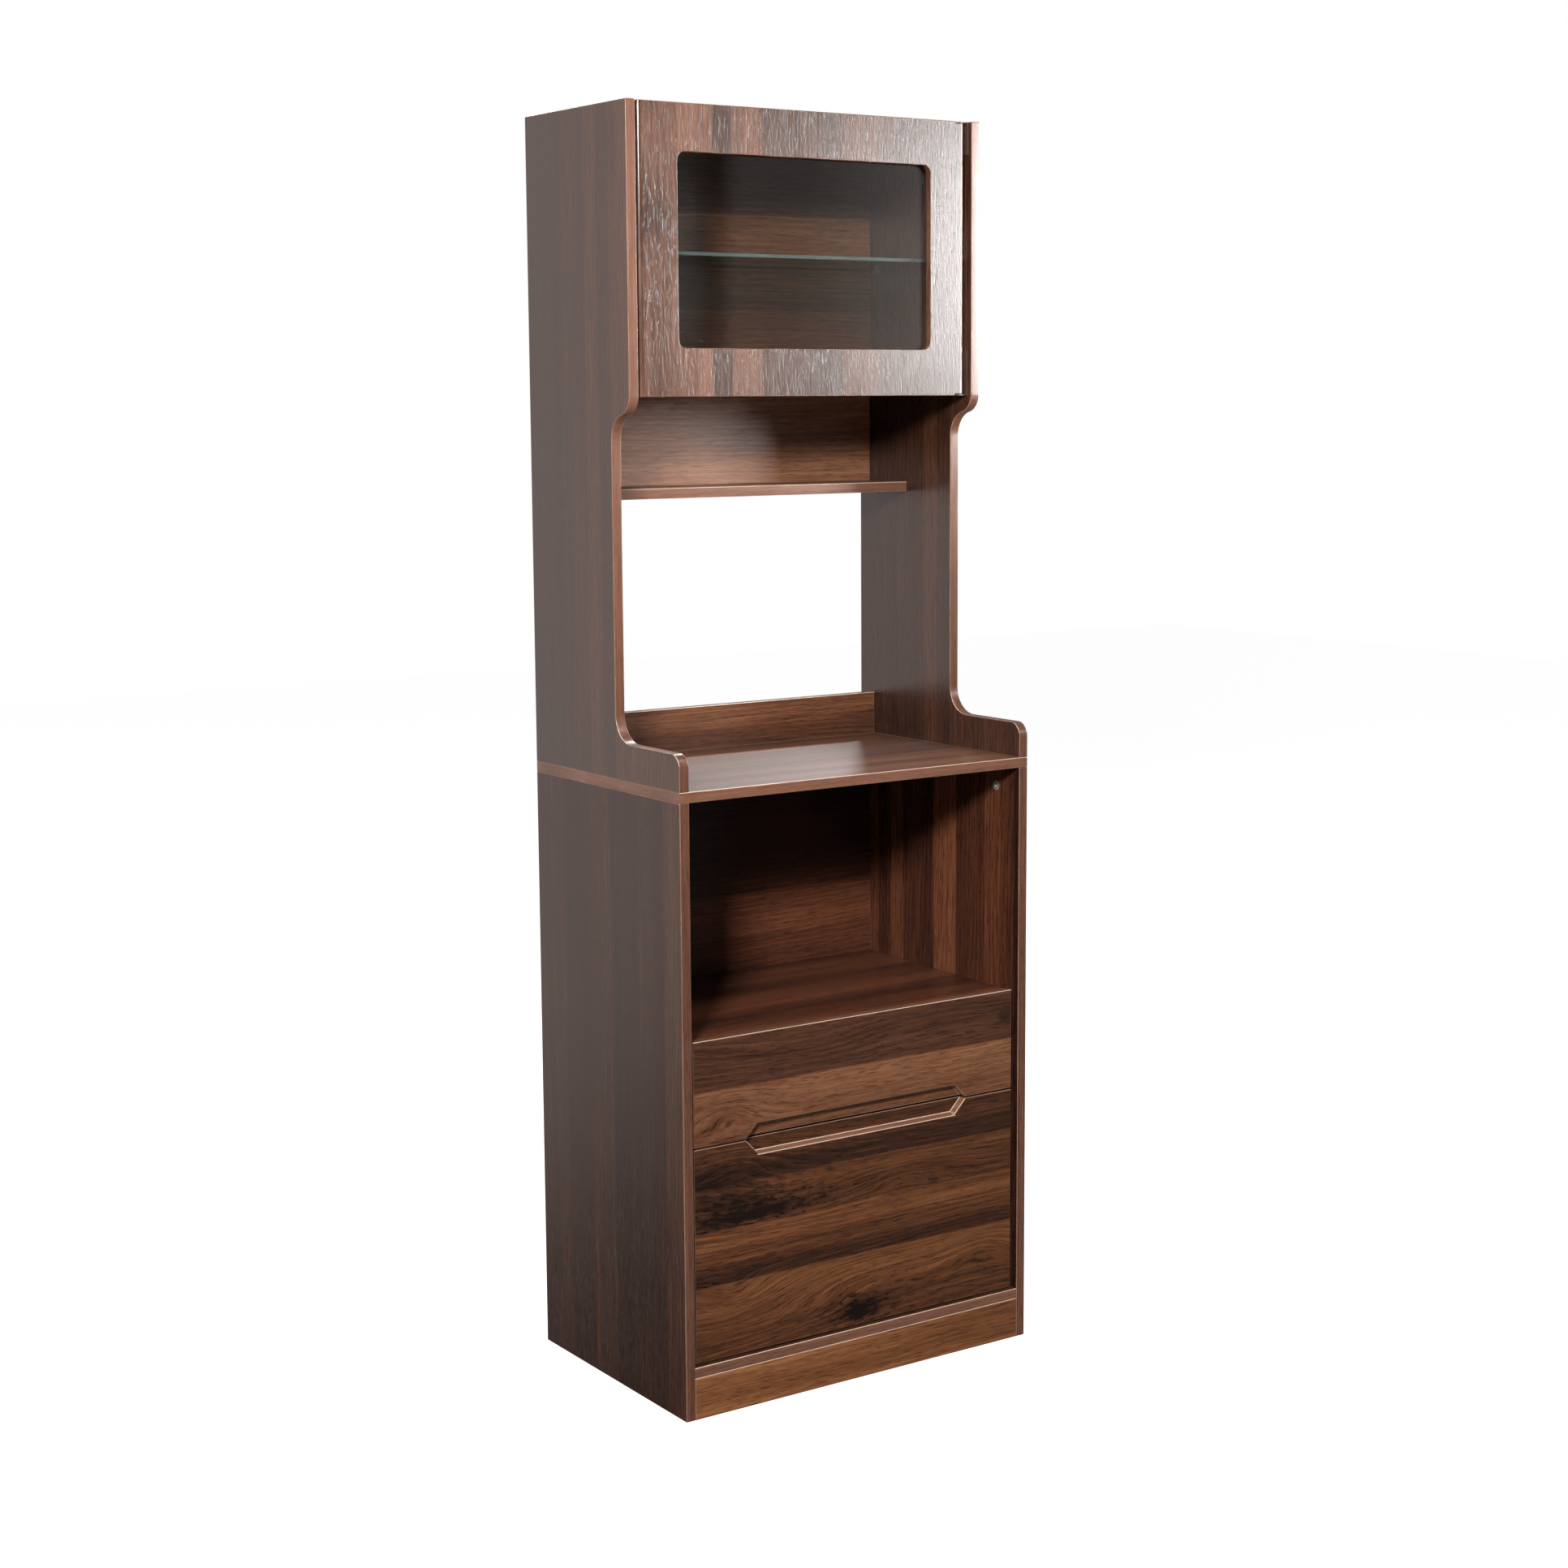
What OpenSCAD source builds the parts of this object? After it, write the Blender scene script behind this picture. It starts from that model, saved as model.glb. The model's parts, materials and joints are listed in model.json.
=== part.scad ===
// Kitchen hutch: a two-drawer base with an open bay, and a hutch with a glass door above its worktop.
// X runs to the right, Y to the back and Z up. The origin is on the floor, in the middle.

/* [Overall] */
// Width over the side boards
width = 600; // [520:5:760]
// Depth of the base and the worktop
depth = 395; // [360:5:480]
// Height over all
height = 1800; // [1760:5:1900]
// Thickness of the boards
board_t = 15; // [15:0.5:18]

/* [Base] */
// Height of the worktop's top face
worktop_z = 880; // [840:5:920]
// Height of the kick board
kick_h = 60; // [45:1:90]
// Height of the bay shelf's top face
bay_shelf_z = 530; // [510:5:600]
// Distance of the back panels' rear faces from the back
back_inset = 10; // [4:1:16]
// Height of the backsplash rail
rail_h = 65; // [50:1:90]
// Distance of the backsplash rail's front face from the back
rail_front_d = 36; // [30:1:60]

/* [Drawer fronts] */
// Distance of the fronts behind the side boards' edges
front_recess = 8; // [3:0.5:15]
// Gap at each end of a front
front_side_gap = 6; // [2:0.5:8]
// Gap between the two fronts
front_gap = 2.5; // [2:0.5:5]
// Height of the upper front
upper_front_h = 149; // [140:1:160]
// Gap under the lower front
lower_front_gap = 2; // [1:0.5:5]
// Height of the upper front's edge over the bay shelf's top face
front_rise = 3; // [0:0.5:8]

/* [Finger pull] */
// Width of the pull where the two fronts meet
pull_w = 385; // [240:5:440]
// Slant of the pull's ends
pull_slant = 19; // [10:1:30]
// Height of the pull's upper half
pull_up_h = 20; // [12:0.5:28]
// Height of the pull's lower half
pull_down_h = 22.5; // [12:0.5:28]
// Depth of the pull
pull_depth = 12; // [6:0.5:12]
// Rise of the pull's sloping lower wall
pull_slope_h = 2.5; // [1:0.5:5]

/* [Drawers] */
// Thickness of the drawer boxes' boards
box_t = 12; // [12:0.5:15]
// Distance of the drawer boxes from the back panel
box_back_gap = 17; // [15:1:60]
// Height of the upper drawer's box
upper_box_h = 110; // [100:1:112]
// Height of the lower drawer's box
lower_box_h = 210; // [150:5:260]
// Height of a box over the lower edge of its front
box_lift = 12; // [12:1:16]
// Thickness of the drawer bottoms
bottom_t = 3; // [3:0.5:4]
// Height of a drawer bottom over its box's lower edge
bottom_lift = 9; // [8:1:12]
// Depth of the grooves that hold a drawer bottom
groove_d = 5; // [4:0.5:6]

/* [Runners] */
// Width of the space for a runner between a drawer and its side board
runner_w = 12.5; // [12.5:0.5:14]
// Height of the fixed runner
runner_h = 29; // [27:1:34]
// Sheet thickness of the runners
runner_t = 1.2; // [1:0.1:1.5]
// Gap between the sliding runner and the fixed one
runner_gap = 0.3; // [0.2:0.05:0.4]

/* [Hutch] */
// Depth of the hutch sides above the curve
hutch_d = 278; // [265:1:300]
// Depth of the hutch sides between the curve and the foot
waist_d = 229; // [215:1:240]
// Distance of the curve's start under the top
curve_drop = 392; // [380:1:405]
// Radius of the curve's upper, convex arc
curve_convex_r = 27; // [20:1:40]
// Radius of the curve's lower, concave arc
curve_concave_r = 35; // [30:1:50]
// Height of the foot over the worktop
foot_h = 51; // [40:1:60]
// Radius of the foot's front corner
foot_corner_r = 20; // [8:1:35]
// Radius between the foot and the upright
foot_fillet_r = 40; // [15:1:60]
// Distance of the shallow shelf's top face under the top
shallow_shelf_drop = 524; // [510:1:560]
// Depth of the shallow shelf
shallow_shelf_d = 121; // [90:1:160]

/* [Door] */
// Height of the door
door_h = 394.5; // [380:0.5:420]
// Distance of the door behind the hutch sides' edges
door_recess = 7; // [3:0.5:10]
// Gap at each side of the door
door_side_gap = 6.5; // [5:0.5:9]
// Gap between the door's back and the boards behind it
door_back_gap = 2; // [1.5:0.5:4]
// Height of the cabinet floor's underside over the door's lower edge
floor_lift = 18.5; // [12:0.5:24]
// Width of the window
window_w = 430; // [340:5:440]
// Height of the window
window_h = 263; // [200:1:270]
// Height of the window over the door's lower edge
window_lift = 66.5; // [60:0.5:75]
// Radius of the window's corners
window_r = 12; // [4:1:20]
// Width of the rebate for the glass
rebate_w = 10; // [6:0.5:12]
// Thickness of the window glass
pane_t = 4; // [3:0.5:5]
// Thickness of the glass shelf
glass_shelf_t = 5; // [4:0.5:8]
// Height of the glass shelf's top face over the cabinet floor
glass_shelf_lift = 164; // [120:1:200]

/* [Fittings] */
// Diameter of the cam locks
cam_d = 15; // [12:0.5:15]
// Distance of a cam lock from the board that it pulls on
cam_offset = 32; // [24:1:34]
// Diameter of the dowels
dowel_d = 8; // [6:0.5:8]
// Length of the dowels in the board ends
dowel_l = 30; // [24:1:34]
// Diameter of the door's pivot pins
pin_d = 5; // [4:0.5:6]
// Thickness of the pivot brackets' sheet
bracket_t = 2; // [1.5:0.1:2.5]
// Diameter of the wall screw holes
wall_hole_d = 5; // [4:0.5:6]
// Clearance round a fitting in its hole
fit_gap = 0.05; // [0.03:0.01:0.1]

/* [Hidden] */
$fn = 48;
// Overshoot of a cut past the face that it opens
over = 1;
// Gap at which a loose piece lies by its seat
seat_gap = 0.3;

front_y = -depth / 2;
back_y = depth / 2;
inner_x = width / 2 - board_t;
side_x = width / 2 - board_t / 2;
counter_z = worktop_z - board_t;
bottom_z = kick_h;
bay_shelf_under = bay_shelf_z - board_t;
panel_y = back_y - back_inset - board_t;
panel_mid_y = panel_y + board_t / 2;
rail_y = back_y - rail_front_d;
rail_mid_y = rail_y + board_t / 2;

front_face_y = front_y + front_recess;
front_back_y = front_face_y + board_t;
front_w = 2 * (inner_x - front_side_gap);
upper_front_top = bay_shelf_z + front_rise;
upper_front_z = upper_front_top - upper_front_h;
lower_front_z = kick_h + board_t + lower_front_gap;
lower_front_top = upper_front_z - front_gap;
front_clear = 2;
bay_shelf_front_y = front_back_y + front_clear;

box_x = inner_x - runner_w;
box_inner_x = box_x - box_t;
box_back_y = panel_y - box_back_gap;
box_l = box_back_y - front_back_y;
upper_box_z = upper_front_z + box_lift;
lower_box_z = lower_front_z + box_lift;
upper_runner_lift = 45;
lower_runner_lift = 60;
upper_runner_z = upper_box_z + upper_runner_lift;
lower_runner_z = lower_box_z + lower_runner_lift;
slide_h = runner_h - 2 * (runner_t + runner_gap);
runner_screw_inset = 40;
// Gap between a fixed runner and the drawer's side, and how much narrower the sliding one is
runner_clear = 2;
slide_clear = 3;

hutch_front_y = back_y - hutch_d;
waist_y = back_y - waist_d;
foot_top_z = worktop_z + foot_h;
curve_z = height - curve_drop;
shallow_shelf_z = height - shallow_shelf_drop;
shallow_under = shallow_shelf_z - board_t;
shallow_front_y = back_y - shallow_shelf_d;
top_under = height - board_t;

door_y = hutch_front_y + door_recess;
door_back_y = door_y + board_t;
door_mid_y = door_y + board_t / 2;
door_edge_x = inner_x - door_side_gap;
pivot_x = door_edge_x - board_t / 2;
door_z = height - door_h;
cabinet_front_y = door_back_y + door_back_gap;
cabinet_floor_z = door_z + floor_lift;
cabinet_floor_top = cabinet_floor_z + board_t;
glass_shelf_z = cabinet_floor_top + glass_shelf_lift;
window_z = door_z + window_lift;
pane_gap = 0.5;
rebate_d = pane_t + seat_gap;

cam_slot_w = 1.4;
cam_slot_l = 8;
cam_slot_d = 2;
cam_skin = 3;
cam_turn = 20;
cam_lip = 1;
bolt_head_d = 7;
bolt_head_l = 4;
bolt_neck_d = 5;
bolt_thread_d = 5;
bolt_thread_l = 10;
bolt_hole_d = 8;
bolt_hole_clear = 0.4;
// How far a bolt's head and its thin neck start from the cam lock's axis, and its thick shank from the lock
bolt_head_start = 1;
bolt_neck_start = 3;
bolt_shank_start = 2;
// Depth of a level dowel in the side board
dowel_in = 8.5;
counter_dowel_in = 14;
pane_clip = [20, 16, 2];
screw_head_d = 7;
screw_head_h = 1.6;
screw_d = 3.5;
screw_inset = 8;
runner_screw_l = 10;
thin_screw_cut = 2;
box_screw_inset = 12;
fix_screw_l = 12;
catch_screw_l = 15;
strike_screw_l = 9;
rail_screw_l = 42;
rail_screw_x = width / 4;
shelf_pin_d = 5;
shelf_pin_in = 8;
shelf_pin_head = [8, 9, 6];
bush_d = 8;
bush_l = 14.5;
leaf_w = 12;
notch_d = bracket_t + 2 * seat_gap;
notch_l = 10;
plate_l = 35;
plate_h = 30;
// The brackets' strips reach past the cabinet floor and the top board
lower_reach = floor_lift + board_t + 1;
upper_reach = board_t + 1;
catch_size = [45, 14, 13];
catch_screw_in = 5;
strike_size = [32, 1, 10];
catch_inset = 60;
catch_x = -inner_x + catch_inset;
strike_x = catch_x + (catch_size[0] - strike_size[0]) / 2;
strike_z = top_under - catch_size[2] / 2 - strike_size[2] / 2;
bumper_d = 8;
bumper_inset = 12;
wall_hole_drop = 35;
wall_hole_x = width / 3;
wall_hole_z = top_under - wall_hole_drop;

// Distances of the fittings from the edges of the boards
front_fit_inset = 54;
rear_fit_inset = 32;
cabinet_fit_inset = 40;
counter_dowel_inset = 30;
counter_dowel_step = 20;
shallow_cam_inset = 30;
shallow_dowel_inset = 62;
lower_panel_insets = [90, 120];
upper_panel_insets = [60, 90];
pin_insets = [40, 20];
glass_gap_front = 4;
glass_gap_back = 5;
glass_gap_side = 1.5;

front_fit_y = front_y + front_fit_inset;
rear_fit_y = panel_y - rear_fit_inset;
base_fit_y = [front_fit_y, rear_fit_y];
cabinet_fit_y = [cabinet_front_y + cabinet_fit_inset, rear_fit_y];
base_dowel_y = (front_fit_y + rear_fit_y) / 2;
cabinet_dowel_y = (cabinet_fit_y[0] + rear_fit_y) / 2;
counter_dowel_y = [waist_y + counter_dowel_inset, rear_fit_y + counter_dowel_step];
shallow_cam_y = shallow_front_y + shallow_cam_inset;
shallow_dowel_y = shallow_front_y + shallow_dowel_inset;
lower_panel_z = kick_h + board_t;
lower_panel_fit_z = [lower_panel_z + lower_panel_insets[0], counter_z - lower_panel_insets[1]];
upper_panel_fit_z = [shallow_shelf_z + upper_panel_insets[0], top_under - upper_panel_insets[1]];
pin_y = [cabinet_front_y + pin_insets[0], panel_y - pin_insets[1]];
glass_front_y = cabinet_front_y + glass_gap_front;
glass_back_y = panel_y - glass_gap_back;

wood = "#5a3d2b";
wood_side = "#63493a";
wood_dark = "#4a3023";
steel = "#a9adb0";
dark_steel = "#3a3430";
plastic = "#d8dcdc";
beech = "#c9a777";
glass_tint = "#7f9c93";

// A box between two opposite corners
module block(low, high) {
    translate(low)
        cube(high - low);
}

// The children and their mirror image at the other side
module both_sides() {
    children();
    mirror([1, 0, 0])
        children();
}

// The children at the right or the left side
module at_side(right) {
    if (right)
        children();
    else
        mirror([1, 0, 0])
            children();
}

// A cylinder along +X
module rod_x(d, l) {
    rotate([0, 90, 0])
        cylinder(d = d, h = l);
}

// The fittings work in one frame: the joint is the plane x = 0, the board that holds the cam lock lies
// at x < 0 with its middle plane at z = 0, and its cam lock opens towards -z.

// The holes for a cam lock and its bolt, in a board of thickness t and in its neighbour
module cam_holes(t) {
    translate([-cam_offset, 0, -t / 2 - over])
        cylinder(d = cam_d + 2 * fit_gap, h = t - cam_skin + seat_gap + over);
    translate([-cam_offset, 0, 0])
        rod_x(bolt_hole_d, cam_offset);
    translate([-over, 0, 0])
        rod_x(bolt_thread_d + 2 * fit_gap, bolt_thread_l + seat_gap + over);
}

// A cam lock with its cross slot and the bore for the bolt's head
module cam_lock(t) {
    difference() {
        translate([-cam_offset, 0, -t / 2])
            cylinder(d = cam_d, h = t - cam_skin);
        translate([-cam_offset - cam_lip, 0, 0])
            rod_x(bolt_hole_d - bolt_hole_clear, cam_d);
        for (turn = [0, 90])
            translate([-cam_offset, 0, -t / 2])
                rotate([0, 0, turn + cam_turn])
                    cube([cam_slot_l, cam_slot_w, 2 * cam_slot_d], center = true);
    }
}

// The bolt that a cam lock pulls on
module cam_bolt() {
    rod_x(bolt_thread_d, bolt_thread_l);
    shank = cam_offset - cam_d / 2 - bolt_shank_start;
    translate([-cam_offset + bolt_neck_start, 0, 0])
        rod_x(bolt_neck_d, cam_offset - bolt_neck_start);
    translate([-cam_offset + bolt_head_start, 0, 0])
        rod_x(bolt_head_d, bolt_head_l);
    translate([-shank, 0, 0])
        rod_x(bolt_head_d, shank);
}

// A hole for a dowel, half in each board
module dowel_hole() {
    translate([-dowel_l / 2 - seat_gap, 0, 0])
        rod_x(dowel_d + 2 * fit_gap, dowel_l / 2 + dowel_in + 2 * seat_gap);
}

// A dowel that reaches into the side board
module dowel() {
    translate([-dowel_l / 2, 0, 0])
        rod_x(dowel_d, dowel_l / 2 + dowel_in);
}

// A screw along +X with its head on the plane x = 0
module screw(l) {
    rod_x(screw_d, l);
    translate([-screw_head_h, 0, 0])
        rod_x(screw_head_d, screw_head_h);
}

// The hole for such a screw, through a sheet or board and into the next one
module screw_hole(l) {
    translate([-over, 0, 0])
        rod_x(screw_d + 2 * fit_gap, l + seat_gap + over);
}

// Places at both ends of a level board, at height z of its middle plane
module level_ends(ys, z) {
    both_sides()
        for (y = ys)
            translate([inner_x, y, z])
                children();
}

// Places at both ends of an upright board, whose cam locks open to the back
module upright_ends(zs, y) {
    both_sides()
        for (z = zs)
            translate([inner_x, y, z])
                rotate([90, 0, 0])
                    children();
}

// Places at the top of the base's sides
module side_tops() {
    both_sides()
        for (y = base_fit_y)
            translate([-side_x, y, counter_z])
                rotate([0, -90, 0])
                    children();
}

// Every place of a cam lock in the base
module base_cam_places() {
    side_tops()
        children();
    bottom_cam_places()
        children();
    bay_cam_places()
        children();
    kick_cam_places()
        children();
    lower_panel_cam_places()
        children();
}

// Every place of a cam lock in the hutch
module hutch_cam_places() {
    top_cam_places()
        children();
    floor_cam_places()
        children();
    shallow_cam_places()
        children();
    rail_cam_places()
        children();
    upper_panel_cam_places()
        children();
}

module bottom_cam_places() {
    level_ends(base_fit_y, bottom_z + board_t / 2)
        children();
}

module bay_cam_places() {
    level_ends(base_fit_y, bay_shelf_under + board_t / 2)
        children();
}

module kick_cam_places() {
    upright_ends([kick_h / 2], front_y + board_t / 2)
        children();
}

module lower_panel_cam_places() {
    upright_ends(lower_panel_fit_z, panel_mid_y)
        children();
}

module top_cam_places() {
    level_ends(cabinet_fit_y, top_under + board_t / 2)
        children();
}

module floor_cam_places() {
    level_ends(cabinet_fit_y, cabinet_floor_z + board_t / 2)
        children();
}

module shallow_cam_places() {
    level_ends([shallow_cam_y], shallow_under + board_t / 2)
        children();
}

module rail_cam_places() {
    upright_ends([worktop_z + rail_h / 2], rail_mid_y)
        children();
}

module upper_panel_cam_places() {
    upright_ends(upper_panel_fit_z, panel_mid_y)
        children();
}

// Places of the dowels between the base's sides and its boards
module base_dowel_places() {
    level_ends([base_dowel_y], bottom_z + board_t / 2)
        children();
    level_ends([base_dowel_y], bay_shelf_under + board_t / 2)
        children();
}

// Places of the dowels between the hutch sides and their boards
module hutch_dowel_places() {
    level_ends([cabinet_dowel_y], top_under + board_t / 2)
        children();
    level_ends([cabinet_dowel_y], cabinet_floor_z + board_t / 2)
        children();
    level_ends([shallow_dowel_y], shallow_under + board_t / 2)
        children();
}

// The long dowels that pass through the worktop from the base's sides into the hutch sides
module counter_dowels(gap) {
    both_sides()
        for (y = counter_dowel_y)
            translate([side_x, y, counter_z - counter_dowel_in - gap])
                cylinder(d = dowel_d + (gap > 0 ? 2 * fit_gap : 0),
                    h = board_t + 2 * (counter_dowel_in + gap));
}

// The screws that hold the backsplash rail on the worktop
module rail_screw_places() {
    for (x = [-rail_screw_x, rail_screw_x])
        translate([x, rail_mid_y, counter_z + screw_head_h])
            rotate([0, -90, 0])
                children();
}

// The pins of the glass shelf
module shelf_pin_places() {
    both_sides()
        for (y = pin_y)
            translate([inner_x, y, glass_shelf_z - glass_shelf_t - shelf_pin_head[2] / 2])
                children();
}

// The holes in a side board of the base
module base_side_holes() {
    base_cam_places()
        cam_holes(board_t);
    base_dowel_places()
        dowel_hole();
    counter_dowels(seat_gap);
    cabinet_runner_screw_places()
        screw_hole(runner_screw_l);
}

// The holes in a side board of the hutch
module hutch_side_holes() {
    hutch_cam_places()
        cam_holes(board_t);
    hutch_dowel_places()
        dowel_hole();
    counter_dowels(seat_gap);
    shelf_pin_places()
        translate([-over, 0, 0])
            rod_x(shelf_pin_d + 2 * fit_gap, shelf_pin_in + seat_gap + over);
    pivot_screw_places()
        screw_hole(fix_screw_l);
}

module base_side(right) {
    color(wood_side)
        at_side(right)
            difference() {
                block([inner_x, front_y, 0], [width / 2, back_y, counter_z]);
                base_side_holes();
            }
}

module left_side() {
    base_side(false);
}

module right_side() {
    base_side(true);
}

module kick_board() {
    color(wood_dark)
        difference() {
            block([-inner_x, front_y, 0], [inner_x, front_y + board_t, kick_h]);
            kick_cam_places()
                cam_holes(board_t);
        }
}

module bottom_board() {
    color(wood)
        difference() {
            block([-inner_x, front_y, bottom_z], [inner_x, back_y - back_inset, bottom_z + board_t]);
            bottom_cam_places()
                cam_holes(board_t);
            base_dowel_places()
                dowel_hole();
        }
}

module countertop() {
    color(wood_dark)
        difference() {
            block([-width / 2, front_y, counter_z], [width / 2, back_y, worktop_z]);
            side_tops()
                cam_holes(board_t);
            counter_dowels(seat_gap);
            rail_screw_places()
                rail_screw_hole();
        }
}

module lower_back_panel() {
    color(wood_dark)
        difference() {
            block([-inner_x, panel_y, lower_panel_z], [inner_x, back_y - back_inset, counter_z]);
            lower_panel_cam_places()
                cam_holes(board_t);
        }
}

module bay_shelf() {
    color(wood)
        difference() {
            block([-inner_x, bay_shelf_front_y, bay_shelf_under], [inner_x, panel_y, bay_shelf_z]);
            bay_cam_places()
                cam_holes(board_t);
            base_dowel_places()
                dowel_hole();
        }
}

// Outline of a hutch side, drawn with Y to the right and Z up
module hutch_side_outline() {
    reach = curve_convex_r + curve_concave_r;
    step_y = (waist_y - curve_concave_r) - (hutch_front_y + curve_convex_r);
    drop = sqrt(reach * reach - step_y * step_y);
    convex_c = [hutch_front_y + curve_convex_r, curve_z];
    concave_c = [waist_y - curve_concave_r, curve_z - drop];
    meet = convex_c + (concave_c - convex_c) * curve_convex_r / reach;
    // The tall part and the part above the curve
    translate([waist_y, worktop_z])
        square([waist_d, height - worktop_z]);
    translate([hutch_front_y, curve_z])
        square([hutch_d, height - curve_z]);
    // The curve under the door
    translate(convex_c)
        circle(r = curve_convex_r, $fn = 96);
    difference() {
        polygon([convex_c, meet, [waist_y, concave_c[1]], [waist_y + over, concave_c[1]],
            [waist_y + over, curve_z + over], [convex_c[0], curve_z + over]]);
        translate(concave_c)
            circle(r = curve_concave_r, $fn = 96);
    }
    // The foot
    translate([front_y + foot_corner_r, worktop_z])
        square([waist_y + over - front_y - foot_corner_r, foot_h]);
    translate([front_y, worktop_z])
        square([foot_corner_r + over, foot_h - foot_corner_r]);
    translate([front_y + foot_corner_r, foot_top_z - foot_corner_r])
        circle(r = foot_corner_r, $fn = 96);
    difference() {
        translate([waist_y - foot_fillet_r, foot_top_z - over])
            square([foot_fillet_r + over, foot_fillet_r + over]);
        translate([waist_y - foot_fillet_r, foot_top_z + foot_fillet_r])
            circle(r = foot_fillet_r, $fn = 96);
    }
}

module hutch_side(right) {
    color(wood_side)
        at_side(right)
            difference() {
                translate([inner_x, 0, 0])
                    rotate([90, 0, 90])
                        linear_extrude(height = board_t)
                            hutch_side_outline();
                hutch_side_holes();
            }
}

module hutch_left_side() {
    hutch_side(false);
}

module hutch_right_side() {
    hutch_side(true);
}

module hutch_top() {
    color(wood_side)
        difference() {
            block([-inner_x, cabinet_front_y, top_under], [inner_x, back_y, height]);
            top_cam_places()
                cam_holes(board_t);
            hutch_dowel_places()
                dowel_hole();
            catch_screw_places()
                screw_hole(fix_screw_l);
        }
}

module cabinet_floor() {
    color(wood)
        difference() {
            block([-inner_x, cabinet_front_y, cabinet_floor_z], [inner_x, panel_y, cabinet_floor_top]);
            floor_cam_places()
                cam_holes(board_t);
            hutch_dowel_places()
                dowel_hole();
        }
}

module hutch_back_panel() {
    color(wood_dark)
        difference() {
            block([-inner_x, panel_y, shallow_shelf_z], [inner_x, back_y - back_inset, top_under]);
            upper_panel_cam_places()
                cam_holes(board_t);
            for (x = [-wall_hole_x, wall_hole_x])
                translate([x, panel_y - over, wall_hole_z])
                    rotate([-90, 0, 0])
                        cylinder(d = wall_hole_d, h = board_t + 2 * over);
        }
}

module shallow_shelf() {
    color(wood)
        difference() {
            block([-inner_x, shallow_front_y, shallow_under], [inner_x, back_y, shallow_shelf_z]);
            shallow_cam_places()
                cam_holes(board_t);
            hutch_dowel_places()
                dowel_hole();
        }
}

module rail_screw_hole() {
    screw_hole(rail_screw_l);
    translate([-screw_head_h - over, 0, 0])
        rod_x(screw_head_d + 2 * seat_gap, screw_head_h + over);
}

module backsplash_rail() {
    color(wood)
        difference() {
            block([-inner_x, rail_y, worktop_z], [inner_x, rail_y + board_t, worktop_z + rail_h]);
            rail_cam_places()
                cam_holes(board_t);
            rail_screw_places()
                rail_screw_hole();
        }
}

module glass_shelf() {
    color(glass_tint, 0.5)
        block([-inner_x + glass_gap_side, glass_front_y, glass_shelf_z - glass_shelf_t],
            [inner_x - glass_gap_side, glass_back_y, glass_shelf_z]);
}

module shelf_pins() {
    color(plastic)
        shelf_pin_places() {
            rod_x(shelf_pin_d, shelf_pin_in);
            translate([-shelf_pin_head[0] / 2, 0, 0])
                cube(shelf_pin_head, center = true);
        }
}

module cam_locks() {
    color(steel) {
        base_cam_places()
            cam_lock(board_t);
        hutch_cam_places()
            cam_lock(board_t);
    }
}

module cam_bolts() {
    color(steel) {
        base_cam_places()
            cam_bolt();
        hutch_cam_places()
            cam_bolt();
    }
}

module dowels() {
    color(beech) {
        base_dowel_places()
            dowel();
        hutch_dowel_places()
            dowel();
        counter_dowels(0);
    }
}

module rail_screws() {
    color(steel)
        rail_screw_places()
            screw(rail_screw_l);
}

// A sheet channel that opens towards -x from its web on the plane x = 0, centred at z = 0
module channel(h, w, l) {
    translate([-runner_t, 0, -h / 2])
        cube([runner_t, l, h]);
    for (z = [-h / 2, h / 2 - runner_t])
        translate([-w, 0, z])
            cube([w, l, runner_t]);
}

// The fixed runner on a base side's inner face
module cabinet_runner(right, z) {
    color(steel)
        at_side(right)
            difference() {
                translate([inner_x, front_back_y + front_clear, z])
                    channel(runner_h, runner_w - runner_clear, box_l);
                cabinet_runner_screw_places()
                    screw_hole(runner_screw_l);
            }
}

// The sliding runner on a drawer side's outer face, which opens towards the fixed one
module drawer_runner(right, z) {
    color(steel)
        at_side(right)
            difference() {
                translate([box_x, front_back_y, z])
                    mirror([1, 0, 0])
                        channel(slide_h, runner_w - runner_t - slide_clear, box_l);
                drawer_runner_screw_places(z)
                    screw_hole(runner_screw_l - thin_screw_cut);
            }
}

module upper_left_cabinet_runner() {
    cabinet_runner(false, upper_runner_z);
}

module upper_right_cabinet_runner() {
    cabinet_runner(true, upper_runner_z);
}

module lower_left_cabinet_runner() {
    cabinet_runner(false, lower_runner_z);
}

module lower_right_cabinet_runner() {
    cabinet_runner(true, lower_runner_z);
}

module cabinet_runner_screw_places() {
    both_sides()
        for (z = [upper_runner_z, lower_runner_z], y = [runner_screw_inset, box_l - runner_screw_inset])
            translate([inner_x - runner_t, front_back_y + front_clear + y, z])
                children();
}

module cabinet_runner_screws() {
    color(steel)
        cabinet_runner_screw_places()
            screw(runner_screw_l);
}

module drawer_runner_screw_places(z) {
    both_sides()
        for (y = [runner_screw_inset, box_l - runner_screw_inset])
            translate([box_x + runner_t, front_back_y + y, z])
                mirror([1, 0, 0])
                    children();
}

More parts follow.
